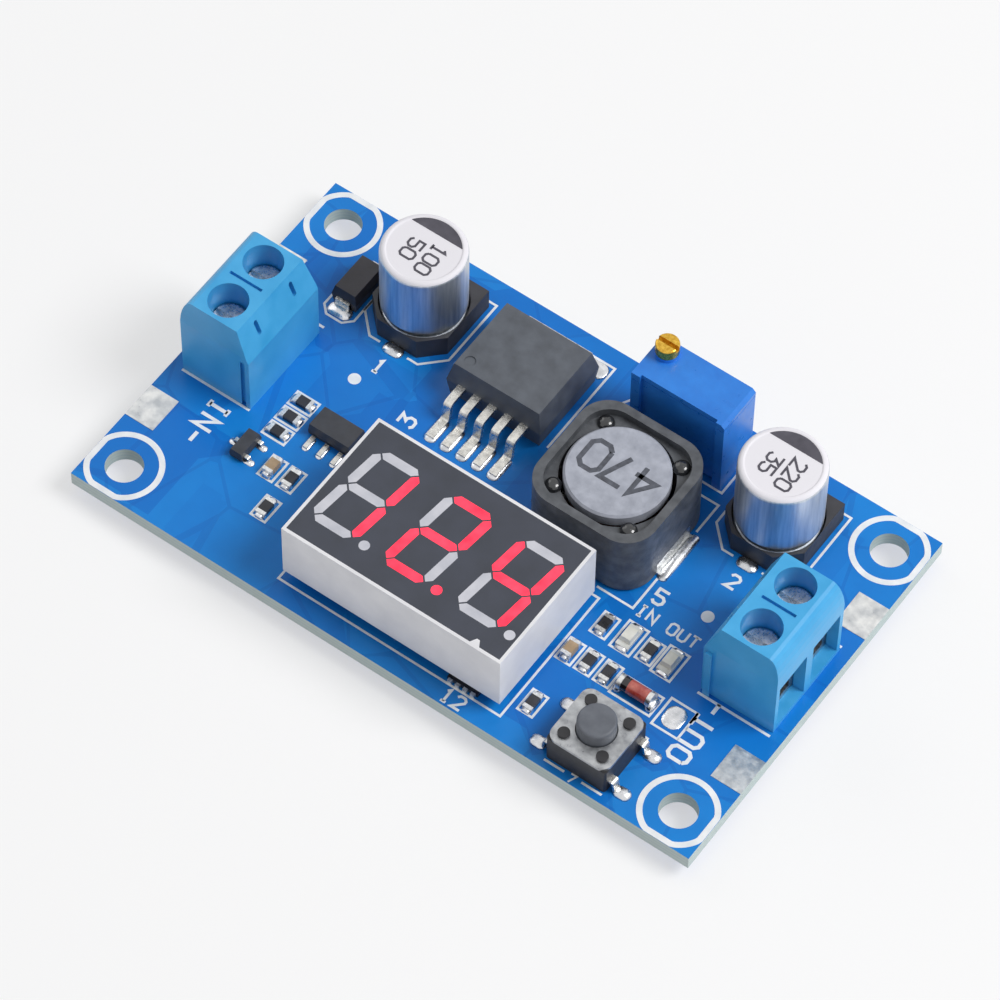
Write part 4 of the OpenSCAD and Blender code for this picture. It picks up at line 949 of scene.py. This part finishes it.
def diodeSolder(shape):
    look = solderLook["glass"]
    side, out, under = look["side"], look["out"], look["under"]
    lo, hi = boxOf("glass_diode_caps")
    drop(shape, lo.x - out, lo.x + under, lo.y - side, hi.y + side, look["height"])
    drop(shape, hi.x - under, hi.x + out, lo.y - side, hi.y + side, look["height"])
    look = solderLook["pad"]
    y0, y1 = lo.y - look["near"], hi.y + look["far"]
    drop(shape, hi.x + look["start"], hi.x + look["end"], y0, y1, look["height"])
    look = solderLook["diode"]
    side, under = look["side"], look["under"]
    lo, hi = boxOf("input_diode_leads")
    drop(shape, lo.x - side, hi.x + side, lo.y - look["near"], lo.y + under, look["height"])
    drop(shape, lo.x - side, hi.x + side, hi.y - under, hi.y + look["far"], look["height"])


def inductorSolder(shape):
    look = solderLook["inductor"]
    out, under, half = look["out"], look["under"], look["half"]
    lo, hi = boxOf("inductor_clips")
    y = (lo.y + hi.y) / 2
    for x0, x1 in ((lo.x - out, lo.x + under), (hi.x - under, hi.x + out)):
        drop(shape, x0, x1, y - half, y + half, look["height"])


def allSolder():
    shape = bmesh.new()
    chipSolder(shape)
    regulatorSolder(shape)
    switchSolder(shape)
    capacitorSolder(shape)
    transistorSolder(shape)
    diodeSolder(shape)
    inductorSolder(shape)
    addPiece("solder_joints", shape, "solder", smooth=True)


allSolder()
print("solder made")

# Prints on the parts

canPrintLook = {
    "inset": 0.5,  # from the can's side to the printed face
    "dish": 0.08,  # the top face lies this far below the can's edge
    "sunk": 0.005,
    "ink": 0.03,
    "chord": 34,  # degrees above the X axis where the dark segment starts
    "steps": 24,
    "height": 1.4,
    "stroke": 0.15,
    "spread": 1.3,
    "firstRow": 1.15,  # to the right of the can's middle
    "rowGap": 2.05,
    "rowDrop": 0.6,
    "input": ("100", "50"),
    "output": ("220", "35"),
}


def canPrint(end):
    # dark segment on the side away from the meter, and plain numbers
    look = canPrintLook
    lo, hi = boxOf(end + "_capacitor_can")
    mid = (lo + hi) / 2
    top = hi.z - look["dish"]
    low, high = top - look["sunk"], top + look["ink"]
    chord = look["chord"]
    shape = bmesh.new()
    r = (hi.x - lo.x) / 2 - look["inset"]
    slab(shape, circlePoints(mid.x, mid.y, r, look["steps"], chord, 180 - chord), low, high)
    addPiece(end + "_can_stripe", shape, "dark_ink")
    shape = bmesh.new()
    for row, words in enumerate(look[end]):
        x, y = mid.x + look["firstRow"] - look["rowGap"] * row, mid.y - look["rowDrop"]
        lettering(shape, words, x, y, look["height"], -90, look["stroke"], low, high, look["spread"])
    addPiece(end + "_can_numbers", shape, "dark_ink")


canPrint("input")
canPrint("output")

coilNumberLook = {
    "words": "470",
    "height": 3.1,
    "stroke": 0.15,
    "spread": 1.2,
    "up": 0.2,
    "sunk": 0.005,
    "ink": 0.02,
}


def coilNumber():
    look = coilNumberLook
    lo, hi = boxOf("inductor_core")
    mid = (lo + hi) / 2
    low, high = hi.z - look["sunk"], hi.z + look["ink"]
    shape = bmesh.new()
    x, y = mid.x, mid.y + look["up"]
    lettering(shape, look["words"], x, y, look["height"], 180, look["stroke"], low, high, look["spread"])
    addPiece("inductor_number", shape, "marker")


coilNumber()
print("part prints made")

# Floor, light and camera

stageLook = {
    "floorSize": 3.0,  # metres, as are the lamps' places and sizes
    "floorTone": srgb(245, 245, 246),
    "floorDrop": 0.0002,  # below the lowest solder
    "shadowShare": 0.45,  # how much of the floor's look is its real shading
    "worldLevel": 0.36,
    "keyPlace": (0.45, 0.2, 0.6),
    "keySize": 0.35,
    "keyLevel": 0.72,
    "fillPlace": (-0.5, 0.1, 0.4),
    "fillSize": 0.4,
    "fillLevel": 0.1,
}


def either(nodes, links, *rays):
    # 1 where any of these Light Path rays looks at the surface
    path = nodes.new("ShaderNodeLightPath")
    seen = path.outputs[rays[0]]
    for ray in rays[1:]:
        larger = nodes.new("ShaderNodeMath")
        larger.operation = "MAXIMUM"
        links.new(seen, larger.inputs[0])
        links.new(path.outputs[ray], larger.inputs[1])
        seen = larger.outputs[0]
    return seen


def makeFloor():
    half = stageLook["floorSize"] / 2
    z = cadBox[0].z - stageLook["floorDrop"]
    mesh = bpy.data.meshes.new("floor")
    corners = [(-half, -half, z), (half, -half, z), (half, half, z), (-half, half, z)]
    mesh.from_pydata(corners, [], [(0, 1, 2, 3)])
    floor = bpy.data.objects.new("floor", mesh)
    bpy.context.scene.collection.objects.link(floor)
    material = bpy.data.materials.new("pale_floor")
    material.use_nodes = True
    nodes, links = material.node_tree.nodes, material.node_tree.links
    shaded = nodes["Principled BSDF"]
    shaded.inputs["Base Color"].default_value = stageLook["floorTone"]
    shaded.inputs["Roughness"].default_value = 0.9
    glow = nodes.new("ShaderNodeEmission")
    glow.inputs["Strength"].default_value = 1
    share = nodes.new("ShaderNodeMath")
    share.operation = "MULTIPLY"
    share.inputs[1].default_value = 1 - stageLook["shadowShare"]
    links.new(either(nodes, links, "Is Camera Ray", "Is Glossy Ray"), share.inputs[0])
    mix = nodes.new("ShaderNodeMixShader")
    links.new(share.outputs[0], mix.inputs[0])
    links.new(shaded.outputs[0], mix.inputs[1])
    links.new(glow.outputs[0], mix.inputs[2])
    links.new(mix.outputs[0], nodes["Material Output"].inputs["Surface"])
    mesh.materials.append(material)


def makeWorld():
    world = bpy.data.worlds.new("studio")
    bpy.context.scene.world = world
    world.use_nodes = True
    nodes, links = world.node_tree.nodes, world.node_tree.links
    soft = nodes["Background"]
    soft.inputs["Color"].default_value = (1, 1, 1, 1)
    soft.inputs["Strength"].default_value = stageLook["worldLevel"]
    white = nodes.new("ShaderNodeBackground")
    white.inputs["Color"].default_value = (1, 1, 1, 1)
    white.inputs["Strength"].default_value = 1
    mix = nodes.new("ShaderNodeMixShader")
    seen = either(nodes, links, "Is Camera Ray", "Is Transmission Ray", "Is Glossy Ray")
    links.new(seen, mix.inputs[0])
    links.new(soft.outputs[0], mix.inputs[1])
    links.new(white.outputs[0], mix.inputs[2])
    links.new(mix.outputs[0], nodes["World Output"].inputs["Surface"])


def addLamp(name, place, size, level):
    # a square soft box that faces the board; level is the light it throws there
    light = bpy.data.lights.new(name, "AREA")
    light.size = size
    light.energy = level * (math.pi * Vector(place).length) ** 2
    lamp = bpy.data.objects.new(name, light)
    bpy.context.scene.collection.objects.link(lamp)
    lamp.location = place
    lamp.rotation_mode = "QUATERNION"
    lamp.rotation_quaternion = (-Vector(place)).to_track_quat("-Z", "Y")


cameraLook = {
    "azimuth": 34.846,
    "elevation": 57.045,
    "roll": 1.027,
    "distance": 496.8,  # mm from the point it looks at
    "target": (-0.87, 0.40, 1.6),
    "lens": 204.05,
    "sensor": 36,
    "clip": (0.01, 10),
}


def makeCamera():
    look = cameraLook
    az, el, roll = (math.radians(look[k]) for k in ("azimuth", "elevation", "roll"))
    back = Vector((math.sin(az) * math.cos(el), -math.cos(az) * math.cos(el), math.sin(el)))
    right = Vector((math.cos(az), math.sin(az), 0))
    up = back.cross(right)
    across = right * math.cos(roll) + up * math.sin(roll)
    upward = up * math.cos(roll) - right * math.sin(roll)
    camera = bpy.data.objects.new("camera", bpy.data.cameras.new("camera"))
    bpy.context.scene.collection.objects.link(camera)
    spin = Matrix((across, upward, back)).transposed()
    spot = (Vector(look["target"]) + back * look["distance"]) * mm
    camera.matrix_world = Matrix.Translation(spot) @ spin.to_4x4()
    camera.data.lens = look["lens"]
    camera.data.sensor_width = look["sensor"]
    camera.data.clip_start, camera.data.clip_end = look["clip"]
    bpy.context.scene.camera = camera


makeFloor()
makeWorld()
addLamp("key", stageLook["keyPlace"], stageLook["keySize"], stageLook["keyLevel"])
addLamp("fill", stageLook["fillPlace"], stageLook["fillSize"], stageLook["fillLevel"])
makeCamera()
bpy.context.scene.view_settings.view_transform = "Standard"
print("stage made")
